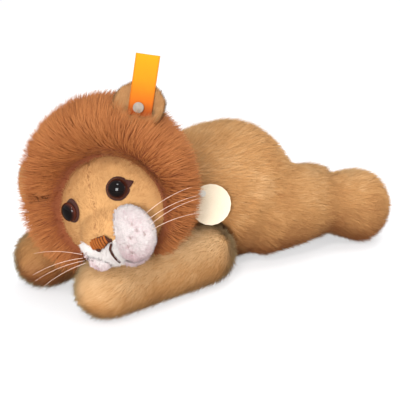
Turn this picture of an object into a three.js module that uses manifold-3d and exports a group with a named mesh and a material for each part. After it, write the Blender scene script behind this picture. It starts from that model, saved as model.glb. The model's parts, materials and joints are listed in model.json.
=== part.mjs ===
// Plush lion lying on its belly with its head resting on its forelegs.
// Millimetres, +Z up. The origin is the middle of the flat belly face that it rests on.
// The head is at -X, the lion's left side is at -Y and the hind legs reach towards +X.

import * as THREE from "three";
import { mergeVertices } from "three/addons/utils/BufferGeometryUtils.js";
import Module from "manifold-3d";

const wasm = await Module();
wasm.setup();

// Cloth, seams and clearances
const seamGap = 0.35;
const swingMargin = 1.8;
const swingStep = 6;
const pileWall = 6;
const faceWall = 4;
const flatDepth = 0.5;
const overrun = 8;

// Torso: a padded barrel, highest behind the shoulders
const torsoLength = 150;
const torsoWidth = 102;
const torsoHeight = 102;
const torsoFrontShare = 0.4;
// along, aside, half width, half height
const torsoShares = [
  [0.1, -0.06, 0.34, 0.38],
  [0.3, -0.02, 0.46, 0.48],
  [0.62, 0, 0.5, 0.5],
  [0.8, 0, 0.425, 0.425],
  [0.92, -0.01, 0.3, 0.265],
];

// Forelegs: padded tubes that turn at the shoulder seams
const forelegLength = 106;
const forelegWidth = 44;
const forelegHeight = 43;
const shoulderWidth = 44;
const shoulderHeight = 46;
const shoulderAsideShare = 0.41;
const leftShoulderAlongShare = 0.235;
const rightShoulderAlongShare = 0.15;
// along, half width, half height, lift
const forelegShares = [
  [0.28, 0.5, 0.52, 0],
  [0.54, 0.48, 0.48, 0],
  [0.8, 0.51, 0.51, 0],
];
const leftForelegTurn = 5;
const rightForelegTurn = 15;
const forelegSwing = 15;

// Hind legs: a broad thigh at the hip seam and a stubby foot stretched out behind
const hindLegLength = 108;
const hindLegWidth = 50;
const hindLegHeight = 56;
const thighWidth = 58;
const thighHeight = 71;
const thighLift = 4;
const hipAsideShare = 0.26;
const leftHipAlongShare = 0.65;
const rightHipAlongShare = 0.57;
// along, half width, half height, lift
const hindLegShares = [
  [0.28, 0.53, 0.57, 0.12],
  [0.5, 0.4, 0.44, 0.19],
  [0.76, 0.54, 0.525, 0],
];
const leftHindLegTurn = 11;
const rightHindLegTurn = 30;
const hindLegSwing = 12;

// Head: a ball of short pile with a snout, carried at the neck seam
const headLength = 80;
const headWidth = 90;
const headHeight = 80;
const headYaw = 32;
const headPitch = 9;
const headRoll = 31;
const headLift = 12;
const neckWidth = 44;
const neckHeight = 64;
const neckAlongShare = 0.012;
const neckAsideShare = -0.2;
const neckBehindShare = 0.44;
const neckBelowShare = 0.05;
const snoutLength = 54;
const snoutWidth = 50;
const snoutHeight = 44;
const snoutAheadShare = 0.3;
const snoutBelowShare = 0.2;

// Mane: a hood of long pile round the face
const maneLength = 88;
const maneWidth = 124;
const maneHeight = 122;
const maneAheadShare = 0.11;
const maneAboveShare = 0.17;
const faceWindowWidth = 73;
const faceWindowHeight = 72;
const faceWindowFlare = 32;
const faceWindowAheadShare = 0.15;
const faceWindowAboveShare = -0.05;

// Muzzle: two white pads and a chin, with a stitched nose and mouth
const padLength = 24;
const padWidth = 33;
const padHeight = 38;
const padAheadShare = 0.5;
// aside, below, size: the foreleg under it presses the right pad up
const leftPadShares = [0.196, 0.27, 1];
const rightPadShares = [-0.1, 0.29, 0.72];
const chinLength = 22;
const chinWidth = 24;
const chinHeight = 18;
const chinAheadShare = 0.44;
const chinAsideShare = 0.13;
const chinBelowShare = 0.42;
const noseLength = 9;
const noseWidth = 17;
const noseHeight = 11;
const noseAheadShare = 0.61;
const noseBelowShare = 0.23;
const mouthThread = 1.6;
// aside, below
const mouthShares = [
  [0.01, 0.36],
  [0.03, 0.42],
  [0.06, 0.48],
];

// Eyes: a glass dome on a shank through the cover, over a felt rim, held inside by a washer
const eyeWidth = 13;
const eyeDome = 4.5;
const eyeShankWidth = 3;
const eyeShankLength = 9;
const eyeAsideShare = 0.215;
const eyeAboveShare = 0.0975;
const eyeOutwardTurn = 20;
const washerWidth = 12;
const washerThickness = 1.5;
const rimWidth = 17;
const rimThickness = 1.2;
const rimPoint = 4;
const rimPointSpread = 30;

// Ears: cupped ovals that stand up from the mane
const earWidth = 36;
const earHeight = 32;
const earThickness = 9;
const earWall = 3.2;
const earAheadShare = 0.24;
const earSplay = 34;
const earOutwardTurn = 25;
const earLean = 15;
// aside, above
const leftEarShares = [0.556, 0.625];
const rightEarShares = [-0.54, 0.46];

// Whiskers: nylon threads, four to a side
const whiskerWidth = 0.6;
const whiskerLength = 34;
const whiskerDroop = 2;
const whiskerRootShare = 0.25;
// height on the pad, rise, forward lean
const leftWhiskerShares = [
  [0.38, 0.1, -0.35],
  [0.16, 0.02, -0.4],
  [-0.02, 0.06, -0.3],
  [-0.2, -0.12, -0.35],
];
const rightWhiskerShares = [
  [0.2, 0.45, 0.1],
  [0.02, 0.12, 0.45],
  [-0.12, 0.05, 0.6],
  [-0.26, -0.1, 0.5],
];

// Ear ribbon, folded over at the top, and the rivet that holds it
const ribbonLength = 34.5;
const ribbonWidth = 14.2;
const ribbonThickness = 0.5;
const ribbonFold = 0.6;
const ribbonFoot = 5;
const ribbonLean = 15;
const ribbonTurn = 3;
const ribbonAsideShare = 0.12;
const rivetWidth = 7;
const rivetThickness = 1.4;
const rivetShankWidth = 2.4;
const rivetWasherWidth = 9;
const rivetWasherThickness = 1;
const rivetGrip = 2.2;
const rivetAboveShare = -0.05;
const ribbonSwing = 8;

// Hang tag: a card disc on a nylon fastener that goes through the shoulder's cover
const tagWidth = 29;
const tagThickness = 1;
const tagHoleWidth = 3.4;
const tagHoleInset = 4;
const tagAlongShare = 0.235;
const tagHeading = 250;
const tagTilt = 12;
const tagHoleTurn = 35;
const tagSwing = 20;
const fastenerWidth = 1.6;
const fastenerHeadWidth = 5;
const fastenerHeadThickness = 1.2;
const fastenerBarLength = 7;

// Tail: a thin tube laid over the right thigh, with a tuft at its end
const tailWidth = 13;
const tuftLength = 26;
const tuftWidth = 20;
const tailLift = 15;
// along, aside, up, of the torso
const tailShares = [
  [0.8, 0.1, 0.52],
  [0.77, 0.29, 0.77],
  [0.715, 0.5, 0.74],
  [0.65, 0.68, 0.52],
  [0.6, 0.76, 0.28],
  [0.55, 0.775, 0.13],
];
const tuftShares = [0.5, 0.78, 0.1];

// Faces are few, because the pile hides them
const formSides = 20;
const innerSides = 12;
const smallSides = 14;
const tinySides = 8;
const arcSteps = 6;
const threadFineness = 3;
const tailFineness = 7;

const upward = new THREE.Vector3(0, 0, 1);
const axisX = new THREE.Vector3(1, 0, 0);
const axisY = new THREE.Vector3(0, 1, 0);
const vector = (x, y, z) => new THREE.Vector3(x, y, z);
const degrees = THREE.MathUtils.degToRad;
const shift = (x, y, z) => new THREE.Matrix4().makeTranslation(x, y, z);
const turn = (axis, angle) => new THREE.Matrix4().makeRotationAxis(axis, degrees(angle));
const after = (...matrices) => matrices.reduce((all, one) => all.multiply(one), new THREE.Matrix4());

function cloth(colour) {
  return new THREE.MeshStandardMaterial({ color: colour, roughness: 0.95, metalness: 0 });
}
function smooth(colour, roughness, metalness) {
  return new THREE.MeshStandardMaterial({ color: colour, roughness, metalness });
}
const materials = {
  bodyPile: cloth(0xd7a56e),
  facePile: cloth(0xcda069),
  manePile: cloth(0xbe7346),
  earPile: cloth(0xb08a55),
  muzzlePile: cloth(0xf0eef0),
  stuffing: cloth(0xf2efe6),
  stitching: cloth(0x9a5c28),
  felt: cloth(0x4a2a18),
  eyeGlass: smooth(0x120a08, 0.05, 0),
  nylon: smooth(0xf3e3dc, 0.4, 0),
  ribbon: smooth(0xfaaf14, 0.6, 0),
  metal: smooth(0xc9c4b8, 0.3, 1),
  plastic: smooth(0xd9d9d4, 0.5, 0),
  card: smooth(0xf0e1c8, 0.7, 0),
};

// A closed geometry, placed by a matrix, as a solid for joining and cutting.
function solidOf(geometry, place = new THREE.Matrix4()) {
  const bare = new THREE.BufferGeometry();
  bare.setAttribute("position", geometry.getAttribute("position").clone());
  if (geometry.index) bare.setIndex(geometry.index);
  bare.applyMatrix4(place);
  const merged = mergeVertices(bare, 1e-4);
  const triVerts = new Uint32Array(merged.index.array);
  return new wasm.Manifold(
    new wasm.Mesh({ numProp: 3, vertProperties: new Float32Array(merged.attributes.position.array), triVerts }),
  );
}

// The geometry of a solid in the frame of a group.
function geometryOf(solid, group) {
  const mesh = solid.getMesh();
  const shared = new THREE.BufferGeometry();
  shared.setAttribute("position", new THREE.BufferAttribute(mesh.vertProperties, mesh.numProp));
  shared.setIndex(new THREE.BufferAttribute(mesh.triVerts, 1));
  const geometry = shared.toNonIndexed().applyMatrix4(group.matrixWorld.clone().invert());
  geometry.computeVertexNormals();
  return geometry;
}

const joined = (solids) => solids.reduce((all, one) => all.add(one));
const cut = (solid, ...cutters) => cutters.reduce((left, cutter) => left.subtract(cutter), solid);

// The turns between rest and a limit, in steps, or the limit alone where the clearance is wide
function turnsTo(limit, clearance) {
  const count = clearance > swingMargin ? 1 : Math.ceil(Math.abs(limit) / swingStep);
  return Array.from({ length: count }, (_, i) => (limit * (i + 1)) / count);
}

// A smooth line through points, evenly from each to the next.
const smoothLine = (points) => new THREE.CatmullRomCurve3(points, false, "catmullrom");

// A padded form that lies along a smooth line through its stations, with a round cap at each end.
// A station is { at, wide, high }: its place, half width and half height.
// offset grows the form all round, or shrinks it.
function paddedForm(stations, place, offset, sides) {
  const spine = smoothLine(stations.map((s) => s.at));
  const sizes = smoothLine(stations.map((s) => vector(s.wide, s.high, 0)));
  const along = (share) => spine.getTangent(share).setZ(0).normalize();
  const last = stations.length - 1;
  const fine = sides >= formSides;
  const steps = last * (fine ? 2 : 1);
  const capRings = fine ? 3 : 2;
  const points = [];
  const addRing = (share, slide, shrink) => {
    const side = new THREE.Vector3().crossVectors(upward, along(share));
    const size = sizes.getPoint(share);
    for (let k = 0; k < sides; k++) {
      const angle = (k / sides) * 2 * Math.PI;
      const point = spine.getPoint(share).addScaledVector(along(share), slide);
      point.addScaledVector(side, (size.x + offset) * shrink * Math.cos(angle));
      point.addScaledVector(upward, (size.y + offset) * shrink * Math.sin(angle));
      points.push(point);
    }
  };
  const capAngles = Array.from({ length: capRings }, (_, i) => ((i + 1) / (capRings + 1)) * (Math.PI / 2));
  const capDepth = (end) => stations[end].wide + offset;
  for (const angle of [...capAngles].reverse()) addRing(0, -capDepth(0) * Math.sin(angle), Math.cos(angle));
  for (let i = 0; i <= steps; i++) addRing(i / steps, 0, 1);
  for (const angle of capAngles) addRing(1, capDepth(last) * Math.sin(angle), Math.cos(angle));
  const rings = points.length / sides;
  points.push(spine.getPoint(0).addScaledVector(along(0), -capDepth(0)));
  points.push(spine.getPoint(1).addScaledVector(along(1), capDepth(last)));
  const faces = [];
  const firstPole = rings * sides;
  const lastRing = (rings - 1) * sides;
  for (let k = 0; k < sides; k++) {
    const next = (k + 1) % sides;
    for (let r = 0; r < rings - 1; r++) {
      const a = r * sides + k;
      const b = r * sides + next;
      faces.push(a, b, b + sides, a, b + sides, a + sides);
    }
    faces.push(firstPole, next, k);
    faces.push(firstPole + 1, lastRing + k, lastRing + next);
  }
  const geometry = new THREE.BufferGeometry();
  const flat = points.flatMap((p) => p.toArray());
  geometry.setAttribute("position", new THREE.Float32BufferAttribute(flat, 3));
  geometry.setIndex(faces);
  return solidOf(geometry, place);
}

// A ball stretched to a length, width and height.
function ballForm([length, width, height], place, offset = 0, sides = formSides) {
  const geometry = new THREE.SphereGeometry(1, sides, Math.round(sides / 2));
  geometry.rotateX(Math.PI / 2);
  geometry.scale(length / 2 + offset, width / 2 + offset, height / 2 + offset);
  return solidOf(geometry, place);
}

// A round bar along X.
function barForm(from, to, radius, place, sides = smallSides) {
  const geometry = new THREE.CylinderGeometry(radius, radius, to - from, sides);
  geometry.rotateZ(-Math.PI / 2);
  geometry.translate((from + to) / 2, 0, 0);
  return solidOf(geometry, place);
}

// A round thread or tube along a smooth line through its points.
function threadForm(points, radius, fineness, place) {
  const section = new THREE.Shape();
  section.absarc(0, 0, radius, 0, 2 * Math.PI);
  const options = { steps: fineness + 1, curveSegments: fineness, bevelEnabled: false };
  options.extrudePath = smoothLine(points);
  return solidOf(new THREE.ExtrudeGeometry(section, options), place);
}

// An outline drawn in Y and Z, as a plate from one X to another.
const plateBasis = new THREE.Matrix4().makeBasis(axisY, upward, axisX);
function plateForm(outline, from, to, place) {
  const options = { depth: to - from, curveSegments: arcSteps, bevelEnabled: false };
  return solidOf(new THREE.ExtrudeGeometry(outline, options), after(place, shift(from, 0, 0), plateBasis));
}

// Everything under the floor that the part rests on
const floorSpan = 4 * torsoLength;
const underFloor = solidOf(new THREE.BoxGeometry(floorSpan, floorSpan, torsoHeight), shift(0, 0, -torsoHeight / 2));

// Torso
const alongTorso = (share) => (share - torsoFrontShare) * torsoLength;
const torsoStations = torsoShares.map(([along, aside, wide, high]) => ({
  at: vector(alongTorso(along), aside * torsoWidth, high * torsoHeight - flatDepth),
  wide: wide * torsoWidth,
  high: high * torsoHeight,
}));
const torsoForm = (offset, sides) => paddedForm(torsoStations, new THREE.Matrix4(), offset, sides);

// Limbs: each starts at a round root about its upright hinge
function makeLimb(along, aside, heading, swing, root, size, shares) {
  const rootMiddle = root.height / 2 + root.lift - flatDepth;
  const stations = [{ at: vector(0, 0, rootMiddle), wide: root.width / 2, high: root.height / 2 }];
  for (const [reach, wide, high, lift] of shares) {
    const at = vector(reach * size.length, 0, (high + lift) * size.height - flatDepth);
    stations.push({ at, wide: wide * size.width, high: high * size.height });
  }
  const place = (swung) => after(shift(alongTorso(along), aside * torsoWidth, 0), turn(upward, heading + swung));
  const form = (offset, sides, swung = 0) => paddedForm(stations, place(swung), offset, sides);
  const rootBall = (offset, sides) =>
    ballForm([root.width, root.width, root.height], after(place(0), shift(0, 0, rootMiddle)), offset, sides);
  const swept = (offset, sides = formSides) =>
    joined([
      form(offset, sides),
      ...turnsTo(swing, offset).map((swung) => form(offset + swingMargin, innerSides, swung)),
      rootBall(offset + seamGap, sides),
    ]);
  const towardsTorso = aside < 0 ? 90 : -90;
  const mouth = barForm(
    0, root.width, root.width / 3,
    after(place(-heading), shift(0, 0, rootMiddle), turn(upward, towardsTorso)), innerSides,
  );
  return { place: place(0), form, swept, mouth };
}
const forelegRoot = { width: shoulderWidth, height: shoulderHeight, lift: 0 };
const forelegSize = { length: forelegLength, width: forelegWidth, height: forelegHeight };
const thighRoot = { width: thighWidth, height: thighHeight, lift: thighLift };
const hindLegSize = { length: hindLegLength, width: hindLegWidth, height: hindLegHeight };
const makeForeleg = (along, side, bend, swing) =>
  makeLimb(along, side * shoulderAsideShare, 180 + bend, swing, forelegRoot, forelegSize, forelegShares);
const makeHindLeg = (along, side, bend, swing) =>
  makeLimb(along, side * hipAsideShare, -bend, swing, thighRoot, hindLegSize, hindLegShares);
const limbs = {
  left_foreleg: makeForeleg(leftShoulderAlongShare, -1, leftForelegTurn, forelegSwing),
  right_foreleg: makeForeleg(rightShoulderAlongShare, 1, rightForelegTurn, -forelegSwing),
  left_hind_leg: makeHindLeg(leftHipAlongShare, -1, leftHindLegTurn, -hindLegSwing),
  right_hind_leg: makeHindLeg(rightHipAlongShare, 1, rightHindLegTurn, hindLegSwing),
};
const forelegsSwept = (offset) => limbs.left_foreleg.swept(offset).add(limbs.right_foreleg.swept(offset));

// Head frame: X forwards, Y to the lion's left and Z up, carried at the neck seam
const neck = vector(alongTorso(neckAlongShare), neckAsideShare * torsoWidth, neckHeight);
const neckPlace = shift(neck.x, neck.y, neck.z);
const neckBall = (offset, sides = formSides) => ballForm([neckWidth, neckWidth, neckWidth], neckPlace, offset, sides);
const liftAxis = vector(0, -1, 0).applyMatrix4(turn(upward, 180 + headYaw));
const headPlaceAt = (lift) =>
  after(
    neckPlace,
    turn(liftAxis, lift),
    turn(upward, 180 + headYaw),
    turn(axisY, -headPitch),
    turn(axisX, headRoll),
    shift(neckBehindShare * headLength, 0, neckBelowShare * headHeight),
  );
const headPlace = headPlaceAt(0);
const inHead = (x, y, z, ...turns) => after(headPlace, shift(x, y, z), ...turns);
const inHeadShares = (ahead, aside, above, ...turns) =>
  inHead(ahead * headLength, aside * headWidth, above * headHeight, ...turns);

const skullSize = [headLength, headWidth, headHeight];
const snoutSize = [snoutLength, snoutWidth, snoutHeight];
const snoutPlace = inHeadShares(snoutAheadShare, 0, -snoutBelowShare);
const skullBall = (offset, sides, place = headPlace) => ballForm(skullSize, place, offset, sides);
const faceForm = (offset, sides = formSides) =>
  skullBall(offset, sides).add(ballForm(snoutSize, snoutPlace, offset, sides));

// Mane: a ball of pile with the face let into it
const maneSize = [maneLength, maneWidth, maneHeight];
const maneShift = shift(maneAheadShare * headLength, 0, maneAboveShare * headHeight);
const maneBall = (offset, sides, place = headPlace) => ballForm(maneSize, after(place, maneShift), offset, sides);
function headSwept(offset, sides) {
  const lifted = headPlaceAt(headLift);
  return joined([
    maneBall(offset, sides), skullBall(offset, sides),
    maneBall(offset + swingMargin, smallSides, lifted), skullBall(offset + swingMargin, smallSides, lifted),
  ]);
}
function faceWindow() {
  const behind = faceWindowWidth / 2;
  const ahead = behind + maneLength * Math.tan(degrees(faceWindowFlare));
  const geometry = new THREE.CylinderGeometry(ahead, behind, maneLength, formSides);
  geometry.rotateZ(-Math.PI / 2);
  geometry.scale(1, 1, faceWindowHeight / faceWindowWidth);
  const middle = faceWindowAheadShare * headLength + maneLength / 2;
  return solidOf(geometry, inHead(middle, 0, faceWindowAboveShare * headHeight));
}

// The scene graph: a group for the torso, one for each limb at its hinge, one for the head and so on
const root = new THREE.Group();
const groups = {};
function addGroup(name, place) {
  groups[name] = new THREE.Group();
  groups[name].name = name;
  groups[name].applyMatrix4(place);
  root.add(groups[name]);
  groups[name].updateMatrixWorld(true);
}
function addPiece(group, name, solid, material) {
  const mesh = new THREE.Mesh(geometryOf(solid, groups[group]), material.clone());
  mesh.name = name;
  groups[group].add(mesh);
}
addGroup("torso", new THREE.Matrix4());
addGroup("head", headPlace);

// A point given by shares of the torso's length, width and height
const besideTorso = ([along, aside, up]) => vector(alongTorso(along), aside * torsoWidth, up * torsoHeight);

// Hang tag, in its own frame with X out of the card and Z up
const tagStation = torsoStations[1];
const tagHeight = shoulderHeight + tagWidth / 2 + 2 * seamGap;
const tagRise = (tagHeight - tagStation.at.z) / tagStation.high;
const tagAside = tagStation.at.y - tagStation.wide * Math.sqrt(1 - tagRise ** 2) - tagThickness;
const tagCentre = vector(alongTorso(tagAlongShare), tagAside, tagHeight);
const tagPlace = after(shift(...tagCentre.toArray()), turn(upward, tagHeading), turn(axisY, -tagTilt));
const tagHole = after(tagPlace, turn(axisX, tagHoleTurn), shift(0, 0, tagWidth / 2 - tagHoleInset));
function tagForm(offset, swung) {
  const place = after(tagHole, turn(axisX, swung), shift(0, 0, tagHoleInset - tagWidth / 2));
  return barForm(-offset, tagThickness + offset, tagWidth / 2 + offset, place, formSides);
}
function fastenerForm(offset) {
  const inside = -pileWall - 2 * fastenerWidth;
  const front = tagThickness + seamGap;
  const radius = fastenerWidth / 2 + offset;
  const half = fastenerBarLength / 2 + offset;
  const barPlace = after(tagHole, shift(inside, 0, 0), turn(upward, 90));
  return joined([
    barForm(inside, front + fastenerHeadThickness / 2, radius, tagHole, tinySides),
    barForm(front - offset, front + fastenerHeadThickness + offset, fastenerHeadWidth / 2 + offset, tagHole, tinySides),
    barForm(-half, half, radius, barPlace, tinySides),
  ]);
}
const tagSwept = tagForm(seamGap, 0).add(tagForm(seamGap, tagSwing));

// Tail, laid from the rump over the right thigh to the floor
const tailRoot = besideTorso(tailShares[0]);
const tailPlace = (lift) => after(shift(...tailRoot.toArray()), turn(axisX, lift));
const tailPoints = tailShares.map((share) => besideTorso(share).sub(tailRoot));
function tailForm(offset, lift = 0) {
  const root = ballForm([tailWidth, tailWidth, tailWidth], tailPlace(lift), offset, smallSides);
  return threadForm(tailPoints, tailWidth / 2 + offset, tailFineness, tailPlace(lift)).add(root);
}
const tailSwept = (offset) =>
  joined([tailForm(offset), ...turnsTo(tailLift, offset).map((lift) => tailForm(offset + swingMargin, lift))]);
const tuftForm = (offset) =>
  ballForm([tuftLength, tuftWidth, tuftWidth], shift(...besideTorso(tuftShares).toArray()), offset, smallSides);

// Torso pieces: the torso gives way to the limbs that turn in it and to the head
const limbsSwept = (offset, sides) =>
  joined(Object.values(limbs).map((limb) => limb.swept(offset, sides))).add(tailSwept(offset));
const torsoSolid = (offset, sides) =>
  cut(torsoForm(offset, sides), headSwept(seamGap - offset, sides)).add(neckBall(offset, sides));
addPiece(
  "torso", "torso_cover",
  cut(
    torsoSolid(0, formSides), torsoSolid(-pileWall, innerSides), limbsSwept(seamGap, formSides), underFloor,
    tagSwept, fastenerForm(seamGap),
  ),
  materials.bodyPile,
);
addPiece(
  "torso", "torso_stuffing",
  cut(torsoSolid(-pileWall - seamGap, innerSides), limbsSwept(2 * swingMargin, innerSides), fastenerForm(seamGap)),
  materials.stuffing,
);
addPiece("torso", "tag_fastener", fastenerForm(0), materials.plastic);
addGroup("hang_tag", tagHole);
const tagHoleForm = barForm(-overrun, overrun, tagHoleWidth / 2, tagHole, tinySides);
addPiece("hang_tag", "hang_tag", cut(tagForm(0, 0), tagHoleForm), materials.card);

// Limb pieces
for (const [name, limb] of Object.entries(limbs)) {
  const solid = (offset, sides) => {
    const form = limb.form(offset, sides);
    return name === "right_hind_leg" ? cut(form, limbs.left_hind_leg.swept(seamGap - offset, formSides)) : form;
  };
  addGroup(name, limb.place);
  addPiece(
    name, name + "_cover",
    cut(solid(0, formSides), solid(-pileWall, innerSides), limb.mouth, underFloor),
    materials.bodyPile,
  );
  addPiece(name, name + "_stuffing", solid(-pileWall - seamGap, innerSides), materials.stuffing);
}

// Tail pieces
const thighCut = limbs.right_hind_leg.swept(seamGap);
addGroup("tail", tailPlace(0));
addPiece("tail", "tail", cut(tailForm(0), thighCut, tuftForm(seamGap), underFloor), materials.bodyPile);
addPiece("tail", "tail_tuft", cut(tuftForm(0), thighCut, underFloor), materials.manePile);

// An eye, its felt rim and its washer, in the eye's own frame with X outwards
function makeEye(side) {
  const y = side * eyeAsideShare * headWidth;
  const z = eyeAboveShare * headHeight;
  const outward = Math.sqrt(1 - ((2 * y) / headWidth) ** 2 - ((2 * z) / headHeight) ** 2);
  const place = inHead((outward * headLength) / 2, y, z, turn(upward, side * eyeOutwardTurn));
  const base = rimThickness + seamGap;
  const washerFront = -faceWall - seamGap;
  const shankOf = (offset) =>
    barForm(-eyeShankLength - offset, base + eyeDome / 2, eyeShankWidth / 2 + offset, place, tinySides);
  const ball = ballForm([2 * eyeDome, eyeWidth, eyeWidth], after(place, shift(base, 0, 0)), 0, smallSides);
  const dome = ball.intersect(barForm(base, base + eyeWidth, eyeWidth, place));
  const rimOf = (offset) => {
    const radius = rimWidth / 2 + offset;
    const outline = new THREE.Shape();
    outline.absarc(0, 0, radius, degrees(rimPointSpread), degrees(360 - rimPointSpread));
    outline.lineTo(radius + rimPoint, 0);
    return plateForm(outline, -offset, rimThickness + offset, after(place, turn(axisX, side > 0 ? 0 : 180)));
  };
  const washerOf = (offset) =>
    barForm(washerFront - washerThickness - offset, washerFront + offset, washerWidth / 2 + offset, place);
  return {
    eye: dome.add(shankOf(0)),
    rim: cut(rimOf(0), shankOf(seamGap)),
    washer: cut(washerOf(0), shankOf(seamGap)),
    pocket: joined([shankOf(seamGap), rimOf(seamGap), washerOf(seamGap)]),
  };
}

// Muzzle pads
const padSize = [padLength, padWidth, padHeight];
const padCentre = ([aside, below]) =>
  vector(padAheadShare * headLength, aside * headWidth, -below * headHeight);
function padForm(shares, offset) {
  const size = padSize.map((length) => shares[2] * length);
  return ballForm(size, inHead(...padCentre(shares).toArray()), offset, smallSides);
}
const chinForm = (offset) =>
  ballForm(
    [chinLength, chinWidth, chinHeight],
    inHeadShares(chinAheadShare, chinAsideShare, -chinBelowShare), offset, smallSides,
  );
const noseForm = (offset) =>
  ballForm([noseLength, noseWidth, noseHeight], inHeadShares(noseAheadShare, 0, -noseBelowShare), offset, smallSides);

// The mouth's thread runs over the snout, between the pads
function mouthForm(offset) {
  const reach = mouthThread / 2 + 2 * seamGap;
  const points = mouthShares.map(([aside, below]) => {
    const y = aside * headWidth;
    const z = (snoutBelowShare - below) * headHeight;
    const outward = Math.sqrt(1 - (y / (snoutWidth / 2 + reach)) ** 2 - (z / (snoutHeight / 2 + reach)) ** 2);
    return vector(snoutAheadShare * headLength + outward * (snoutLength / 2 + reach), y, -below * headHeight);
  });
  return threadForm(points, mouthThread / 2 + offset, threadFineness, headPlace);
}

// A whisker, from the surface of its pad
function whiskerForm(shares, side, [height, rise, lean]) {
  const onPad = vector(whiskerRootShare, side, height).normalize();
  const centre = padCentre(shares);
  const rootOf = (centreAlong, along, size) => centreAlong + along * ((shares[2] * size) / 2 + seamGap);
  const start = vector(...padSize.map((size, i) => rootOf(centre.getComponent(i), onPad.getComponent(i), size)));
  const way = vector(lean, side, rise).normalize();
  const middle = start.clone().addScaledVector(way, whiskerLength / 2);
  const end = start.clone().addScaledVector(way, whiskerLength);
  middle.z += whiskerDroop;
  return threadForm([start, middle, end], whiskerWidth / 2, threadFineness, headPlace);
}

// Ears, in their own frames with X out of the cup and Z to the tip
function earPlace([aside, above]) {
  const side = Math.sign(aside);
  return inHeadShares(
    earAheadShare, aside, above,
    turn(upward, side * earOutwardTurn), turn(axisX, -side * earSplay), turn(axisY, -earLean),
  );
}
const earBall = (shares, offset) =>
  ballForm([earThickness, earWidth, earHeight], earPlace(shares), offset, smallSides);
function earForm(shares) {
  const place = after(earPlace(shares), shift(earThickness / 2, 0, 0));
  const hollow = [2 * (earThickness - earWall), earWidth - 2 * earWall, earHeight - 2 * earWall];
  return cut(earBall(shares, 0), ballForm(hollow, place, 0, smallSides));
}

// Ribbon and rivet, in the rivet's frame with X out of the ear and Z up the ribbon
const rivetPlace = after(
  earPlace(leftEarShares),
  shift(earWall - earThickness / 2, 0, rivetAboveShare * earHeight),
  turn(axisY, ribbonLean),
  turn(axisX, ribbonTurn),
);
const ribbonDepth = 2 * ribbonThickness + ribbonFold;
const ribbonMiddle = seamGap + ribbonDepth / 2;
function ribbonForm() {
  const half = ribbonDepth / 2;
  const slot = ribbonFold / 2;
  const top = ribbonLength - half;
  const outline = new THREE.Shape();
  outline.moveTo(half, -ribbonFoot);
  outline.absarc(0, top, half, 0, Math.PI);
  outline.lineTo(-half, -ribbonFoot);
  outline.lineTo(-slot, -ribbonFoot);
  outline.absarc(0, top, slot, Math.PI, 0, true);
  outline.lineTo(slot, -ribbonFoot);
  const place = after(rivetPlace, shift(ribbonMiddle, 0, 0), turn(upward, 90));
  const edge = (ribbonAsideShare - 0.5) * ribbonWidth;
  return plateForm(outline, edge, edge + ribbonWidth, place);
}
function ribbonSwept(offset) {
  const length = ribbonFoot + ribbonLength + 2 * offset;
  const block = new THREE.BoxGeometry(ribbonDepth + 2 * offset, ribbonWidth + 2 * offset, length);
  const middle = shift(ribbonMiddle, ribbonAsideShare * ribbonWidth, (ribbonLength - ribbonFoot) / 2);
  return joined([-1, -0.5, 0, 0.5, 1].map((share) => solidOf(block, after(rivetPlace, turn(axisX, share * ribbonSwing), middle))));
}
function rivetForm(offset) {
  const front = 2 * seamGap + ribbonDepth;
  const back = -rivetGrip - rivetWasherThickness - 2 * seamGap;
  const head = barForm(front - offset, front + rivetThickness + offset, rivetWidth / 2 + offset, rivetPlace);
  return head.add(barForm(back - rivetThickness, front + rivetThickness / 2, rivetShankWidth / 2 + offset, rivetPlace, tinySides));
}
const washerForm = (offset, thickness) =>
  barForm(-rivetGrip - thickness - offset, -rivetGrip + offset, rivetWasherWidth / 2 + offset, rivetPlace);

// Head pieces
const eyes = { left: makeEye(1), right: makeEye(-1) };
const headCut = forelegsSwept(seamGap).add(neckBall(2 * seamGap));
const faceCut = faceForm(seamGap);
const headFill = (offset) => cut(faceForm(-offset, innerSides), forelegsSwept(seamGap + offset));
addPiece(
  "head", "head_cover",
  cut(faceForm(0), headFill(faceWall), headCut, eyes.left.pocket, eyes.right.pocket),
  materials.facePile,
);
addPiece(
  "head", "head_stuffing",
  cut(headFill(faceWall + seamGap), headCut, eyes.left.pocket, eyes.right.pocket),
  materials.stuffing,
);
const ribbonCut = joined([ribbonSwept(seamGap), rivetForm(seamGap), washerForm(seamGap, earThickness)]);
const earsCut = joined([earBall(leftEarShares, seamGap), earBall(rightEarShares, seamGap), ribbonCut]);
addPiece("head", "mane", cut(maneBall(0), faceCut, faceWindow(), headCut, tagSwept, earsCut), materials.manePile);
for (const [name, eye] of Object.entries(eyes)) {
  addPiece("head", name + "_eye", eye.eye, materials.eyeGlass);
  addPiece("head", name + "_eye_rim", eye.rim, materials.felt);
  addPiece("head", name + "_eye_washer", eye.washer, materials.plastic);
}
const muzzleCut = joined([faceCut, headCut, noseForm(seamGap)]);
const padCut = muzzleCut.add(mouthForm(seamGap));
addPiece("head", "left_muzzle_pad", cut(padForm(leftPadShares, 0), padCut), materials.muzzlePile);
addPiece(
  "head", "right_muzzle_pad",
  cut(padForm(rightPadShares, 0), padCut, padForm(leftPadShares, seamGap)),
  materials.muzzlePile,
);
addPiece(
  "head", "chin",
  cut(chinForm(0), muzzleCut, padForm(leftPadShares, seamGap), padForm(rightPadShares, seamGap)),
  materials.muzzlePile,
);
addPiece("head", "nose", cut(noseForm(0), faceCut), materials.stitching);
addPiece("head", "mouth_stitch", cut(mouthForm(0), muzzleCut, chinForm(seamGap)), materials.stitching);
leftWhiskerShares.forEach((shares, i) => {
  addPiece("head", "left_whisker_" + (i + 1), whiskerForm(leftPadShares, 1, shares), materials.nylon);
});
rightWhiskerShares.forEach((shares, i) => {
  addPiece("head", "right_whisker_" + (i + 1), whiskerForm(rightPadShares, -1, shares), materials.nylon);
});

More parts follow.
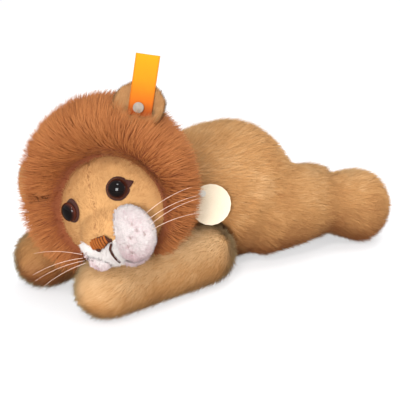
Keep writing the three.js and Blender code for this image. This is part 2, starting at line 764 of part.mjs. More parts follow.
addPiece("head", "left_ear", cut(earForm(leftEarShares), ribbonCut), materials.earPile);
addPiece("head", "right_ear", earForm(rightEarShares), materials.earPile);
addPiece("head", "ear_rivet", rivetForm(0), materials.metal);
addPiece("head", "rivet_washer", cut(washerForm(0, rivetWasherThickness), rivetForm(seamGap)), materials.metal);
addGroup("ear_ribbon", rivetPlace);
addPiece("ear_ribbon", "ear_ribbon", cut(ribbonForm(), rivetForm(seamGap)), materials.ribbon);

export default root;
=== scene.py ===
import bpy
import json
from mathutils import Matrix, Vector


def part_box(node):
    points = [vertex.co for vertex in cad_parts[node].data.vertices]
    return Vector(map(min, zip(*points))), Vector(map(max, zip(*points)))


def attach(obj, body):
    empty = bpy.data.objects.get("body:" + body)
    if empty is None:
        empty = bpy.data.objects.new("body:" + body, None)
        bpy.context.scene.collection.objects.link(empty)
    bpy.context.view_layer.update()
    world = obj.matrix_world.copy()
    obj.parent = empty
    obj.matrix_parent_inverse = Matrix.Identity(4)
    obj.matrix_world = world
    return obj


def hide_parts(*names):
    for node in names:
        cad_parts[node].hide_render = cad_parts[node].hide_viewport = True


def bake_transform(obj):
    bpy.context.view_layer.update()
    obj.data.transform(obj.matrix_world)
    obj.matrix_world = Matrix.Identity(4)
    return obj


bl_info = {
    "name": "Plush Lion",
    "version": (1, 0, 0),
    "blender": (4, 5, 0),
    "location": "View3D > Sidebar > Lion",
    "description": "Skins, pile, face, trim and stage of a plush lion that lies on its belly",
    "category": "Object",
}

import json
import math

import bpy
import numpy as np
from mathutils import Vector, noise
from mathutils.bvhtree import BVHTree
from mathutils.kdtree import KDTree

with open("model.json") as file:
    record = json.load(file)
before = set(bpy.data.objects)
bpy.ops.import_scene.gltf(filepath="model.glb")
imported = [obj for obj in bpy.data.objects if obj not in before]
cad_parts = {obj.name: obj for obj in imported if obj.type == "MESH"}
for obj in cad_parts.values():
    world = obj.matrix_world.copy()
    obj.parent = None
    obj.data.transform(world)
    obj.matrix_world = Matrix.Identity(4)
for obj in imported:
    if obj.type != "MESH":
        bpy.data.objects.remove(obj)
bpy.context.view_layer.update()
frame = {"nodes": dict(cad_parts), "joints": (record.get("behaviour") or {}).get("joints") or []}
LIMBS = ("left_foreleg", "right_foreleg", "left_hind_leg", "right_hind_leg")
FORWARD = Vector((-0.8376, -0.5234, 0.1564))
LEFTWARD = Vector((0.523, -0.684, 0.509))
UPWARD = FORWARD.cross(LEFTWARD).normalized()
PILE_MAP = "OFBake"

# The camera that took the photograph, and where a few things lie in its picture. PICTURE is its side and
# FOCAL its focal length, in pixels
AZIMUTH, ELEVATION = math.radians(-35), math.radians(20)
DISTANCE = 0.8
LENS, SENSOR = 96, 36
MIDDLE = (0, 0, 0.045)
PICTURE = 400
FOCAL = 1066.7
QUILTING_AT = ((131.5, 223.5), (136.5, 229.5), (145, 234), (130, 238.5), (127.5, 247), (132, 254))
MOUTH_AT = ((108.5, 243), (110.5, 247), (113, 251.5), (116, 255.5), (118.5, 259))
NOSTRILS_AT = (((97.5, 248), (99, 248.7), (101, 248.8)), ((110.3, 238.6), (111, 241.5)))


# Shader maths

class Value:
    """A node's output, with the arithmetic that adds Math nodes."""

    def __init__(self, shader, socket):
        self.shader, self.socket = shader, socket

    def __add__(self, other):
        return self.shader.math("ADD", self, other)

    def __sub__(self, other):
        return self.shader.math("SUBTRACT", self, other)

    def __rsub__(self, other):
        return self.shader.math("SUBTRACT", other, self)

    def __mul__(self, other):
        return self.shader.math("MULTIPLY", self, other)

    __radd__, __rmul__ = __add__, __mul__


class Shader:
    """The nodes of a new material, or of the world."""

    def __init__(self, name, owner=None):
        self.owner = owner or bpy.data.materials.new(name)
        self.owner.use_nodes = True
        self.tree = self.owner.node_tree
        self.tree.nodes.clear()

    def node(self, kind, settings=None, inputs=None, output=0):
        made = self.tree.nodes.new(kind)
        for name, value in (settings or {}).items():
            if name == "stops":
                self._set_stops(made.color_ramp, value)
            else:
                setattr(made, name, value)
        for key, value in (inputs or {}).items():
            if isinstance(value, Value):
                self.tree.links.new(value.socket, made.inputs[key])
            else:
                made.inputs[key].default_value = value
        return Value(self, made.outputs[output]) if made.outputs else made

    def _set_stops(self, ramp, stops):
        while len(ramp.elements) < len(stops):
            ramp.elements.new(0.5)
        for element, (place, colour) in zip(ramp.elements, stops):
            element.position = place
            element.color = (*colour, 1)

    def math(self, operation, *values):
        return self.node("ShaderNodeMath", {"operation": operation}, dict(enumerate(values)))

    def mix(self, factor, first, second, blend="MIX"):
        settings = {"data_type": "RGBA", "blend_type": blend}
        colours = [c if isinstance(c, Value) else (*c, 1) for c in (first, second)]
        return self.node("ShaderNodeMix", settings, {0: factor, 6: colours[0], 7: colours[1]}, 2)

    def ramp(self, factor, *stops):
        return self.node("ShaderNodeValToRGB", {"stops": stops}, {0: factor})

    def place(self):
        return self.node("ShaderNodeTexCoord", output=3)

    def along(self, direction):
        """How far a point lies along a direction."""
        return self.node(
            "ShaderNodeVectorMath", {"operation": "DOT_PRODUCT"}, {0: self.place(), 1: tuple(direction)}, 1,
        )

    def chart(self, name):
        """The two numbers of a piece's own map."""
        place = self.node("ShaderNodeUVMap", {"uv_map": name})
        split = self.node("ShaderNodeSeparateXYZ", inputs={0: place})
        return split, Value(self, split.socket.node.outputs[1])

    def ribs(self, place, pitch):
        """Rounded ribs, from 0 to 1, one to each pitch."""
        return self.math("SINE", place * (2 * math.pi / pitch)) * 0.5 + 0.5

    def rays(self, output):
        """1 for one kind of ray: 0 for the camera's, 3 for a glossy one."""
        return self.node("ShaderNodeLightPath", output=output)

    def off_middle(self, share):
        """From 0 in the middle to 1 at both ends."""
        return self.math("ABSOLUTE", share - 0.5) * 2

    def noise(self, scale, detail=3):
        inputs = {"Vector": self.place(), "Scale": scale, "Detail": detail}
        return self.node("ShaderNodeTexNoise", inputs=inputs)

    def bump(self, height, strength, distance):
        inputs = {"Height": height, "Strength": strength, "Distance": distance}
        return self.node("ShaderNodeBump", inputs=inputs)

    def surface(self, colour, **inputs):
        sockets = {"Base Color": colour if isinstance(colour, Value) else (*colour, 1)}
        for name, value in inputs.items():
            sockets[name.replace("_", " ").title().replace("Ior", "IOR")] = value
        shader = self.node("ShaderNodeBsdfPrincipled", inputs=sockets)
        self.node("ShaderNodeOutputMaterial", inputs={"Surface": shader})
        return self.owner


def linear(red, green, blue):
    """A colour as the eye names it, as the light it stands for."""
    return tuple(((c / 255 + 0.055) / 1.055) ** 2.4 if c > 10 else c / 3295 for c in (red, green, blue))


def pile_finish(name, dark, middle, light, root):
    """Strands that are darker at the root, a painted shade of the pile's depth, and vary from one to the
    next.
    """
    glow = tuple(min(1.0, c * 1.5) for c in light)
    shader = Shader(name)
    tint, along = shader.chart(PILE_MAP)
    colour = shader.ramp(tint, (0.0, dark), (0.5, middle), (1.0, light))
    # Darker towards the root: painted shade deep in the pile
    shade = shader.ramp(along, (0.0, root), (0.6, (1.0,) * 3))
    colour = shader.mix(1.0, colour, shade, "MULTIPLY")
    return shader.surface(
        colour, roughness=0.66, specular_ior_level=0.2,
        sheen_weight=0.22, sheen_roughness=0.4, sheen_tint=(*glow, 1),
    )


def grained_finish(name, dark, light, patches, grain, strength, depth, roughness):
    """A colour that changes in patches, over a fine grain: each a noise's scale and detail."""
    shader = Shader(name)
    colour = shader.mix(shader.noise(*patches), dark, light)
    fine = shader.bump(shader.noise(*grain), strength, depth)
    return shader.surface(colour, roughness=roughness, normal=fine)


def backing_finish(name, colour):
    """The knitted ground that carries the pile."""
    darker = tuple(c * 0.7 for c in colour)
    return grained_finish(name, darker, colour, (60, 3), (1400, 1), 0.6, 0.0004, 0.95)


# Mesh helpers

def deselect():
    for obj in bpy.context.selected_objects:
        obj.select_set(False)


def work_on(obj):
    deselect()
    obj.select_set(True)
    bpy.context.view_layer.objects.active = obj


def with_modifier(obj, kind, **settings):
    work_on(obj)
    modifier = obj.modifiers.new(kind.title(), kind)
    for name, value in settings.items():
        setattr(modifier, name, value)
    bpy.ops.object.modifier_apply(modifier=modifier.name)


def merge():
    bpy.ops.mesh.remove_doubles(threshold=1e-6)


def face_out():
    bpy.ops.mesh.normals_make_consistent(inside=False)


def edited(*steps):
    """Takes steps on the whole of the active mesh."""
    bpy.ops.object.mode_set(mode="EDIT")
    bpy.ops.mesh.select_all(action="SELECT")
    for step in steps:
        step()
    bpy.ops.object.mode_set(mode="OBJECT")


def link(obj):
    bpy.context.scene.collection.objects.link(obj)
    return obj


def put(obj, places):
    """Gives a mesh's vertices their places."""
    obj.data.vertices.foreach_set("co", places.astype(np.float32).ravel())
    obj.data.update()
    return obj


def points_of(mesh, kind="vertices", attribute="co"):
    found = np.empty(len(getattr(mesh, kind)) * 3)
    getattr(mesh, kind).foreach_get(attribute, found)
    return found.reshape(-1, 3)


def unit(vectors):
    return vectors / np.maximum(np.linalg.norm(vectors, axis=-1, keepdims=True), 1e-12)


def skin_round(name, nodes, voxel, inset, passes):
    """One closed skin round CAD nodes, drawn in from them by inset, so that its pile ends where they do."""
    deselect()
    for node in nodes:
        part = link(bpy.data.objects.new(name, frame["nodes"][node].data.copy()))
        part.select_set(True)
        bpy.context.view_layer.objects.active = part
    if len(nodes) > 1:
        bpy.ops.object.join()
    form = bpy.context.view_layer.objects.active
    edited(merge)
    with_modifier(form, "REMESH", mode="VOXEL", voxel_size=voxel)
    with_modifier(form, "SMOOTH", factor=0.5, iterations=passes)
    filling = link(bpy.data.objects.new("filling", bpy.data.volumes.new("filling")))
    fill = filling.modifiers.new("Fill", "MESH_TO_VOLUME")
    fill.object = form
    fill.resolution_mode = "VOXEL_SIZE"
    fill.voxel_size = voxel
    fill.interior_band_width = 2 * inset
    skin = link(bpy.data.objects.new(name, bpy.data.meshes.new(name)))
    settings = {"resolution_mode": "VOXEL_SIZE", "voxel_size": voxel, "threshold": 0.5}
    with_modifier(skin, "VOLUME_TO_MESH", object=filling, **settings)
    bpy.data.objects.remove(filling)
    bpy.data.objects.remove(form)
    with_modifier(skin, "SMOOTH", factor=0.5, iterations=passes // 2)
    work_on(skin)
    bpy.ops.object.shade_smooth()
    return skin


def nearness(points, tree):
    """How far each point is from a surface."""
    return np.array([tree.find_nearest(Vector(p))[3] for p in points])


def soften(skin, amount, passes):
    """Smooths a skin where amount, a number for each vertex, is above zero."""
    group = skin.vertex_groups.new(name="soft")
    for i in np.flatnonzero(amount > 0):
        group.add([int(i)], float(min(amount[i], 1)), "REPLACE")
    with_modifier(skin, "SMOOTH", factor=0.5, iterations=passes, vertex_group="soft")
    skin.vertex_groups.clear()


def shift(skin, moved):
    """Moves a skin's vertices along their normals."""
    put(skin, points_of(skin.data) + points_of(skin.data, "vertices", "normal") * moved[:, None])


# A hind leg's collar: how far it runs out, how far round the seam it is smoothed, how far it sinks under
# the torso's skin and stands over the leg's, and how near to both skins a point of the seam is
COLLAR, COLLAR_SOFTENED, COLLAR_SUNK, COLLAR_RAISED, SEAM = 0.014, 0.011, 0.0022, 0.0003, 0.0018


def collar_on(skin, limb, torso):
    """Cuts a skin of a limb and the torso down to the limb and a collar under the torso's skin, and draws
    the seam between them smooth. Gives where the seam is and which way the limb leaves it."""
    limb_tree, torso_tree = tree_of([limb]), tree_of([torso])
    points = points_of(skin.data)
    apart = np.maximum(nearness(points, limb_tree), nearness(points, torso_tree))
    soften(skin, 1.3 * (1 - apart / COLLAR_SOFTENED), 45)
    seam = points[apart < apart.min() + SEAM]
    if len(seam) < 3:
        raise RuntimeError("the limb's skin doesn't meet the torso's")
    middle = seam.mean(axis=0)
    way = np.linalg.svd(seam - middle)[2][2]
    way = way * np.sign(way @ (points_of(limb.data).mean(axis=0) - middle))
    out = nearness(points_of(skin.data), limb_tree)
    sunk = np.clip((out - 0.5 * COLLAR) / (0.5 * COLLAR), 0, 1)
    shift(skin, COLLAR_RAISED * (1 - sunk) - COLLAR_SUNK * sunk ** 2)
    cut_away(skin, out > COLLAR)
    return Vector(middle), Vector(way)


def cut_away(skin, gone):
    """Deletes the vertices of a skin that gone names, and closes the holes."""
    work_on(skin)
    bpy.ops.object.mode_set(mode="EDIT")
    bpy.ops.mesh.select_mode(type="VERT")
    bpy.ops.mesh.select_all(action="DESELECT")
    bpy.ops.object.mode_set(mode="OBJECT")
    skin.data.vertices.foreach_set("select", gone)
    bpy.ops.object.mode_set(mode="EDIT")
    bpy.ops.mesh.delete(type="VERT")
    bpy.ops.mesh.select_all(action="SELECT")
    bpy.ops.mesh.fill_holes(sides=0)
    bpy.ops.mesh.quads_convert_to_tris()
    bpy.ops.object.mode_set(mode="OBJECT")
    bpy.ops.object.shade_smooth()


def threads(name, paths, radius, taper=1.0):
    """Round threads along paths, that taper to a share of their radius."""
    curve = bpy.data.curves.new(name, "CURVE")
    curve.dimensions = "3D"
    curve.bevel_depth = radius
    curve.bevel_resolution = 1
    curve.use_fill_caps = True
    for path in paths:
        spline = curve.splines.new("POLY")
        spline.points.add(len(path) - 1)
        for i, place in enumerate(path):
            spline.points[i].co = (*place, 1)
            spline.points[i].radius = 1 + (taper - 1) * i / (len(path) - 1)
    made = link(bpy.data.objects.new(name, curve))
    work_on(made)
    bpy.ops.object.convert(target="MESH")
    edited(merge, face_out)
    bpy.ops.object.shade_smooth()
    return bpy.context.object


def finished(obj, name, body, slot, material, *nodes):
    """Names a piece, gives it its finish and fixes it to its body, in the place of CAD nodes."""
    obj.name = obj.data.name = name
    obj.data.materials.clear()
    obj.data.materials.append(material)
    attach(obj, body)
    if nodes:
        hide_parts(*nodes)
    return obj


def middle_line(node, count):
    """Points along the middle of a thin node, from the end that is nearer to the head."""
    points = points_of(frame["nodes"][node].data)
    middle = points.mean(axis=0)
    axis = np.linalg.svd(points - middle, full_matrices=False)[2][0]
    if (middle - middle_of("head_cover")) @ axis < 0:
        axis = -axis
    along = (points - middle) @ axis
    fit = np.polyfit(along, points, 3)
    steps = np.linspace(along.min(), along.max(), count)
    return np.array([[np.polyval(fit[:, i], t) for i in range(3)] for t in steps])


def behind_camera(azimuth, elevation):
    """The way from the lion to the camera."""
    level = math.cos(elevation)
    return Vector((math.sin(azimuth) * level, -math.cos(azimuth) * level, math.sin(elevation)))


def sighted(x, y, tree):
    """Where the line of sight through a point of the picture meets a skin, and which way the skin faces."""
    back = behind_camera(AZIMUTH, ELEVATION)
    right = Vector((math.cos(AZIMUTH), math.sin(AZIMUTH), 0))
    aside, above = x - PICTURE / 2, PICTURE / 2 - y
    way = right * aside + back.cross(right) * above - back * FOCAL
    hit, facing, _, _ = tree.ray_cast(Vector(MIDDLE) + back * DISTANCE, way.normalized())
    if hit is None:
        raise RuntimeError(f"no skin at {x}, {y}")
    return hit, facing


PUFF_FRAMES = 20


def puff(skin, pressure, cap):
    """Blows a stuffed skin up a little and keeps each point within cap of where it was."""
    rest = points_of(skin.data)
    work_on(skin)
    cloth = skin.modifiers.new("Padding", "CLOTH")
    cloth.settings.use_pressure = True
    cloth.settings.uniform_pressure_force = pressure
    cloth.settings.effector_weights.gravity = 0
    cloth.point_cache.frame_start = 1
    cloth.point_cache.frame_end = PUFF_FRAMES
    for step in range(1, PUFF_FRAMES + 1):
        bpy.context.scene.frame_set(step)
    bpy.ops.object.modifier_apply(modifier=cloth.name)
    bpy.context.scene.frame_set(1)
    moved = points_of(skin.data) - rest
    far = np.maximum(np.linalg.norm(moved, axis=1, keepdims=True), 1e-9)
    kept = rest + moved * np.minimum(1, cap / far)
    kept[:, 2] = np.maximum(kept[:, 2], np.minimum(rest[:, 2], 0.001))
    put(skin, kept)


def tree_of(objects):
    """A tree to cast rays at, of all that stands in the pile's way."""
    points, faces = [], []
    for obj in objects:
        start = len(points)
        points.extend(tuple(p) for p in points_of(obj.data))
        faces.extend(tuple(start + i for i in polygon.vertices) for polygon in obj.data.polygons)
    return BVHTree.FromPolygons(points, faces)


# Pile

def roots_on(skin, density, random):
    """Points all over a skin, with their normals, so many to a square millimetre."""
    mesh = skin.data
    mesh.calc_loop_triangles()
    corners = np.empty(len(mesh.loop_triangles) * 3, int)
    mesh.loop_triangles.foreach_get("vertices", corners)
    corners = corners.reshape(-1, 3)
    points = points_of(mesh)
    normals = points_of(mesh, "vertices", "normal")
    a, b, c = (points[corners[:, i]] for i in range(3))
    area = np.linalg.norm(np.cross(b - a, c - a), axis=1) / 2 * 1e6
    counts = np.floor(area * density + random.random(len(area))).astype(int)
    chosen = np.repeat(np.arange(len(area)), counts)
    u, v = random.random((2, len(chosen), 1))
    flip = u + v > 1
    u, v = np.where(flip, 1 - u, u), np.where(flip, 1 - v, v)
    blend = [1 - u - v, u, v]
    place = sum(w * points[corners[chosen, i]] for i, w in enumerate(blend))
    normal = sum(w * normals[corners[chosen, i]] for i, w in enumerate(blend))
    return place, unit(normal)


def clumps_of(place, share, random):
    """For each root the number of the root that its clump gathers about."""
    count = max(1, int(len(place) * share))
    centres = random.choice(len(place), count, replace=False)
    tree = KDTree(count)
    for i, centre in enumerate(centres):
        tree.insert(place[centre], i)
    tree.balance()
    return np.array([centres[tree.find(p)[1]] for p in place])


def patches_of(place, scale, seed):
    """Slow changes over a surface, about from -1 to 1."""
    shift = Vector((seed * 1.7, seed * 2.3, seed * 3.1))
    return np.array([noise.noise(Vector(p) * scale + shift) for p in place])


def strand_mesh(name, lines, widths, normal, roll, tint):
    """One mesh of closed three-sided blades, flat side outwards, that taper to a point.
    lines is strands by points by 3."""
    count, rings = lines.shape[0], lines.shape[1] - 1
    along = unit(np.diff(lines, axis=1))
    across = unit(np.cross(along, normal[:, None, :]))
    upright = np.cross(across, along)
    cosine, sine = np.cos(roll)[:, None, None], np.sin(roll)[:, None, None]
    across, upright = across * cosine + upright * sine, upright * cosine - across * sine
    half = widths[:, :rings, None] / 2
    base = lines[:, :-1]
    corners = [base - across * half, base + across * half, base - upright * half * 0.7]
    ringed = np.stack(corners, axis=2).reshape(count, rings * 3, 3)
    points = np.concatenate([ringed, lines[:, -1:, :]], axis=1)
    points[:, :, 2] = np.maximum(points[:, :, 2], 0.0003)
    outward = normal[:, None, :] * 0.85 + upright * 0.25 + np.array([0, 0, 0.22])
    rounded = [outward - across * 0.7, outward + across * 0.7, outward * 0.6 - upright * 0.4]
    rounded = np.stack(rounded, axis=2).reshape(count, rings * 3, 3)
    facing = unit(np.concatenate([rounded, outward[:, -1:, :]], axis=1))
    per = rings * 3 + 1
    faces = [[2, 1, 0]]
    for ring in range(rings - 1):
        for side in range(3):
            after = (side + 1) % 3
            faces.append([ring * 3 + side, ring * 3 + after, ring * 3 + 3 + after, ring * 3 + 3 + side])
    last = (rings - 1) * 3
    faces.extend([last + side, last + (side + 1) % 3, per - 1] for side in range(3))
    sizes = np.array([len(f) for f in faces])
    flat = np.concatenate([np.array(f) for f in faces])
    mesh = bpy.data.meshes.new(name)
    mesh.vertices.add(count * per)
    mesh.vertices.foreach_set("co", points.astype(np.float32).ravel())
    loops = (flat[None, :] + per * np.arange(count)[:, None]).ravel()
    mesh.loops.add(len(loops))
    mesh.loops.foreach_set("vertex_index", loops.astype(np.int32))
    mesh.polygons.add(count * len(faces))
    starts = np.concatenate([[0], np.cumsum(np.tile(sizes, count))[:-1]])
    mesh.polygons.foreach_set("loop_start", starts.astype(np.int32))
    height = np.append(np.repeat(np.arange(rings) / rings, 3), 1.0) * 0.96 + 0.02
    uv = np.stack([np.repeat(tint, per), np.tile(height, count)], axis=1)[loops]
    mesh.uv_layers.new(name=PILE_MAP).data.foreach_set("uv", uv.astype(np.float32).ravel())
    mesh.update(calc_edges=True)
    mesh.polygons.foreach_set("use_smooth", np.ones(count * len(faces), bool))
    mesh.validate()
    mesh.normals_split_custom_set_from_vertices(facing.reshape(-1, 3).astype(np.float32))
    return mesh


def free_way(place, normal, way, length, rise, blocked):
    """How upright a strand has to stand to be free of what is near it, and how long it can be."""
    start = Vector(place + normal * 0.0002)
    best, reach = None, 0.0
    for upright in (rise, (rise + 1) / 2, 0.98):
        out = Vector(normal * upright + way * (1 - upright)).normalized()
        hit, facing, _, distance = blocked.ray_cast(start, out, length)
        if hit is None:
            return upright, length
        if facing.dot(out) > 0:
            return None, 0.0
        if distance > reach:
            best, reach = upright, distance
    return best, reach * 0.95


def grow(name, skin, style, comb, blocked, seed, tone=None, reach=None):
    """The pile of one skin. comb gives the way that it is brushed at each root."""
    random = np.random.default_rng(seed)
    place, normal = roots_on(skin, style["density"], random)
    way = comb(place, normal)
    way = unit(way - np.sum(way * normal, axis=1, keepdims=True) * normal)
    way = unit(way + style["stray"] * random.normal(size=place.shape))
    length = style["length"] * np.clip(1 + style["uneven"] * random.normal(size=len(place)), 0.4, 1.6)
    if reach is not None:
        length = length * reach(place)
    found = [free_way(*one, style["rise"], blocked) for one in zip(place, normal, way, length)]
    rise = np.array([style["rise"] if upright is None else upright for upright, _ in found])
    free = np.array([distance for _, distance in found])
    kept = np.flatnonzero(free > 0.22 * length)
    if len(kept) > style["most"]:
        kept = np.sort(random.choice(kept, style["most"], replace=False))
    place, normal, way, length, rise = place[kept], normal[kept], way[kept], free[kept], rise[kept]
    steps = style["steps"]
    lines = [place - normal * 0.0005]
    for step in range(steps):
        share = (step + 0.5) / steps
        upright = (rise * (1 - share * style["bend"]))[:, None]
        heading = unit(normal * upright + way * (1 - upright) + np.array([0, 0, -style["droop"] * share]))
        lines.append(lines[-1] + heading * (length / steps)[:, None])
    lines = np.stack(lines, axis=1)
    clump = clumps_of(place, style["clumps"], random)
    pull = style["clumping"] * np.linspace(0, 1, steps + 1)[None, :, None] ** 1.3
    gathered = lines[clump] * 0.85 + lines * 0.15
    near = np.linalg.norm(place[clump] - place, axis=1) < style["length"]
    lines = np.where(near[:, None, None], lines * (1 - pull) + gathered * pull, lines)
    heads, number = np.unique(clump, return_inverse=True)
    patch = patches_of(place[heads], style["patch"], style.get("field", seed))
    fleck = random.normal(size=len(heads))
    tint = 0.5 + (0.14 * patch + 0.04 * fleck)[number] + 0.05 * random.normal(size=len(place))
    if tone is not None:
        tint = tint + tone(place)
    width = style["width"] * (0.7 + 0.6 * random.random(len(place)))
    widths = width[:, None] * np.linspace(1, 0.6, steps + 1)[None, :]
    roll = 0.35 * random.normal(size=len(place))
    mesh = strand_mesh(name, lines, widths, normal, roll, np.clip(tint, 0.01, 0.99))
    return link(bpy.data.objects.new(name, mesh))


# density: strands to a square millimetre; uneven: how much their lengths differ; stray: how far they turn
# from the way they are brushed; rise: how upright they start; bend, droop: how they lie down over their
# steps; clumps, clumping: how many gather and how far; patch: how fast the tint changes; most: no more
BODY_STYLE = {
    "density": 2.4, "length": 0.0085, "uneven": 0.16, "stray": 0.16, "rise": 0.36, "bend": 0.4,
    "droop": 0.05, "steps": 1, "clumps": 0.03, "clumping": 0.18, "patch": 45, "width": 0.0005,
    "most": 48500,
}


def styled(**changes):
    return {**BODY_STYLE, **changes}


# Settings a user would change

def length_setting(name, description, default):
    return bpy.props.FloatProperty(
        name=name, description=description, default=default, subtype="DISTANCE", unit="LENGTH",
    )


def angle_setting(name, description, default):
    return bpy.props.FloatProperty(
        name=name, description=description, default=default, subtype="ANGLE", unit="ROTATION",
    )


class LION_PG_pile(bpy.types.PropertyGroup):
    """Lengths of the pile on each part."""

    body: length_setting("Body Pile", "Length of the pile on the torso and the limbs", 0.0085)
    mane: length_setting("Mane Pile", "Length of the pile of the mane", 0.013)
    face: length_setting("Face Pile", "Length of the pile on the face", 0.0026)
    muzzle: length_setting("Muzzle Pile", "Length of the white pile on the muzzle and the chin", 0.0032)
    ear: length_setting("Ear Pile", "Length of the pile on the ears", 0.0035)


class LION_PG_stage(bpy.types.PropertyGroup):
    """The camera."""

    azimuth: angle_setting("Azimuth", "Where the camera stands round the lion", AZIMUTH)
    elevation: angle_setting("Elevation", "How far the camera looks down", ELEVATION)
    distance: length_setting("Distance", "From the camera to the middle of the lion", DISTANCE)
    lens: bpy.props.FloatProperty(
        name="Lens", description="Focal length in millimetres on a 36 mm sensor", default=LENS,
    )
    middle: bpy.props.FloatVectorProperty(
        name="Middle", description="The point that the camera looks at", default=MIDDLE,
        subtype="TRANSLATION", unit="LENGTH",
    )


# Stage

class LION_OT_stage(bpy.types.Operator):
    """Camera at the photograph's angle, soft lamps and a white floor"""

    bl_idname = "lion.stage"
    bl_label = "Stage"

    def execute(self, context):
        settings = context.scene.lion_stage
        middle = Vector(settings.middle)
        back = behind_camera(settings.azimuth, settings.elevation)
        camera = self.aimed("camera", bpy.data.cameras.new("camera"), middle, back * settings.distance)
        camera.data.lens = settings.lens
        camera.data.sensor_width = SENSOR
        camera.data.clip_start = 0.01
        context.scene.camera = camera
        context.scene.view_settings.view_transform = "Standard"
        for name, way, size, power in self.LAMPS:
            lamp = self.aimed(name, bpy.data.lights.new(name, "AREA"), middle, Vector(way))
            lamp.data.size = size
            lamp.data.energy = power
        self.floor()
        self.world(context)
        return {"FINISHED"}

    # Name, place from the lion's middle, size in metres and power in watts
    LAMPS = (
        ("key_lamp", (-0.75, -0.75, 1.15), 0.26, 5.5),
        ("front_lamp", (-0.95, -0.9, 0.32), 0.36, 14.0),
        ("top_lamp", (0.35, -0.1, 1.3), 0.9, 7.5),
        ("side_lamp", (0.75, -1.1, 0.5), 0.25, 1.5),
    )

    def aimed(self, name, data, middle, way):
        """A camera or a lamp that stands off from the middle and looks at it."""
        made = link(bpy.data.objects.new(name, data))
        made.location = middle + way
        made.rotation_euler = (-way).to_track_quat("-Z", "Y").to_euler()
        return made

    def floor(self):
        """White to the camera, a warm grey to the light that it throws back."""
        bpy.ops.mesh.primitive_plane_add(size=12, location=(0, 0, 0))
        floor = bpy.context.object
        floor.name = "floor"
        shader = Shader("white_floor")
        grain = shader.noise(3, 2)
        pale = shader.mix(grain, (0.5, 0.5, 0.51), (0.53, 0.53, 0.54))
        warm = shader.mix(grain, (0.44, 0.4, 0.37), (0.48, 0.44, 0.41))
        plain = shader.node("ShaderNodeBsdfDiffuse", inputs={"Color": warm})
        lit = shader.node("ShaderNodeBsdfDiffuse", inputs={"Color": pale})
        glow = shader.node("ShaderNodeEmission", inputs={"Color": (1, 1, 1, 1), "Strength": 0.54})
        both = shader.node("ShaderNodeAddShader", inputs={0: lit, 1: glow})
        result = shader.node("ShaderNodeMixShader", inputs={0: shader.rays(0), 1: plain, 2: both})
        shader.node("ShaderNodeOutputMaterial", inputs={"Surface": result})
        floor.data.materials.append(shader.owner)

    def world(self, context):
        """White to the camera and in reflections, dimmer as light."""
        shader = Shader("studio", bpy.data.worlds.new("studio"))
        context.scene.world = shader.owner
        dim = shader.node("ShaderNodeBackground", inputs={0: (1, 1, 1, 1), 1: 0.7})
        bright = shader.node("ShaderNodeBackground", inputs={0: (1, 1, 1, 1), 1: 1.0})
        seen = shader.math("MAXIMUM", shader.rays(0), shader.rays(3))
        result = shader.node("ShaderNodeMixShader", inputs={0: seen, 1: dim, 2: bright})
        shader.node("ShaderNodeOutputWorld", inputs={0: result})


# Skins

SKINS = {}
COLLARS = {"left_hind_leg": None, "right_hind_leg": None}
DIMPLES = {"left": [], "right": []}
DIMPLE_DEPTH, DIMPLE_RADIUS = 0.0014, 0.0021
TAN = linear(206, 156, 102)
COLOURS = {
    "body": (linear(138, 82, 44), linear(203, 150, 94), linear(240, 202, 154)),
    "face": (linear(150, 96, 56), linear(214, 162, 104), linear(234, 194, 142)),
    "mane": (linear(106, 44, 22), linear(172, 106, 58), linear(204, 140, 86)),
    "ear": (linear(120, 88, 52), linear(182, 132, 84), linear(206, 166, 118)),
    "muzzle": (linear(196, 160, 166), linear(224, 215, 213), linear(240, 236, 233)),
}
# Colours that each pile is multiplied by at its roots: painted shade deep in the pile
WARM_ROOT_SHADE = (0.72, 0.56, 0.44)
BODY_ROOT_SHADE = (0.9, 0.8, 0.7)
PALE_ROOT_SHADE = (0.92, 0.86, 0.87)
ROOT_SHADES = {"muzzle": PALE_ROOT_SHADE, "body": BODY_ROOT_SHADE}


def hinge_of(child):
    return Vector(next(j["pos_m"] for j in frame["joints"] if j["child"] == child))


def middle_of(node):
    low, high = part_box(node)
    return np.array((low + high) / 2)


def off_seam(places):
    """How far places lie to the side of the face's middle seam."""
    return np.abs((places - middle_of("head_cover")) @ np.array(LEFTWARD))


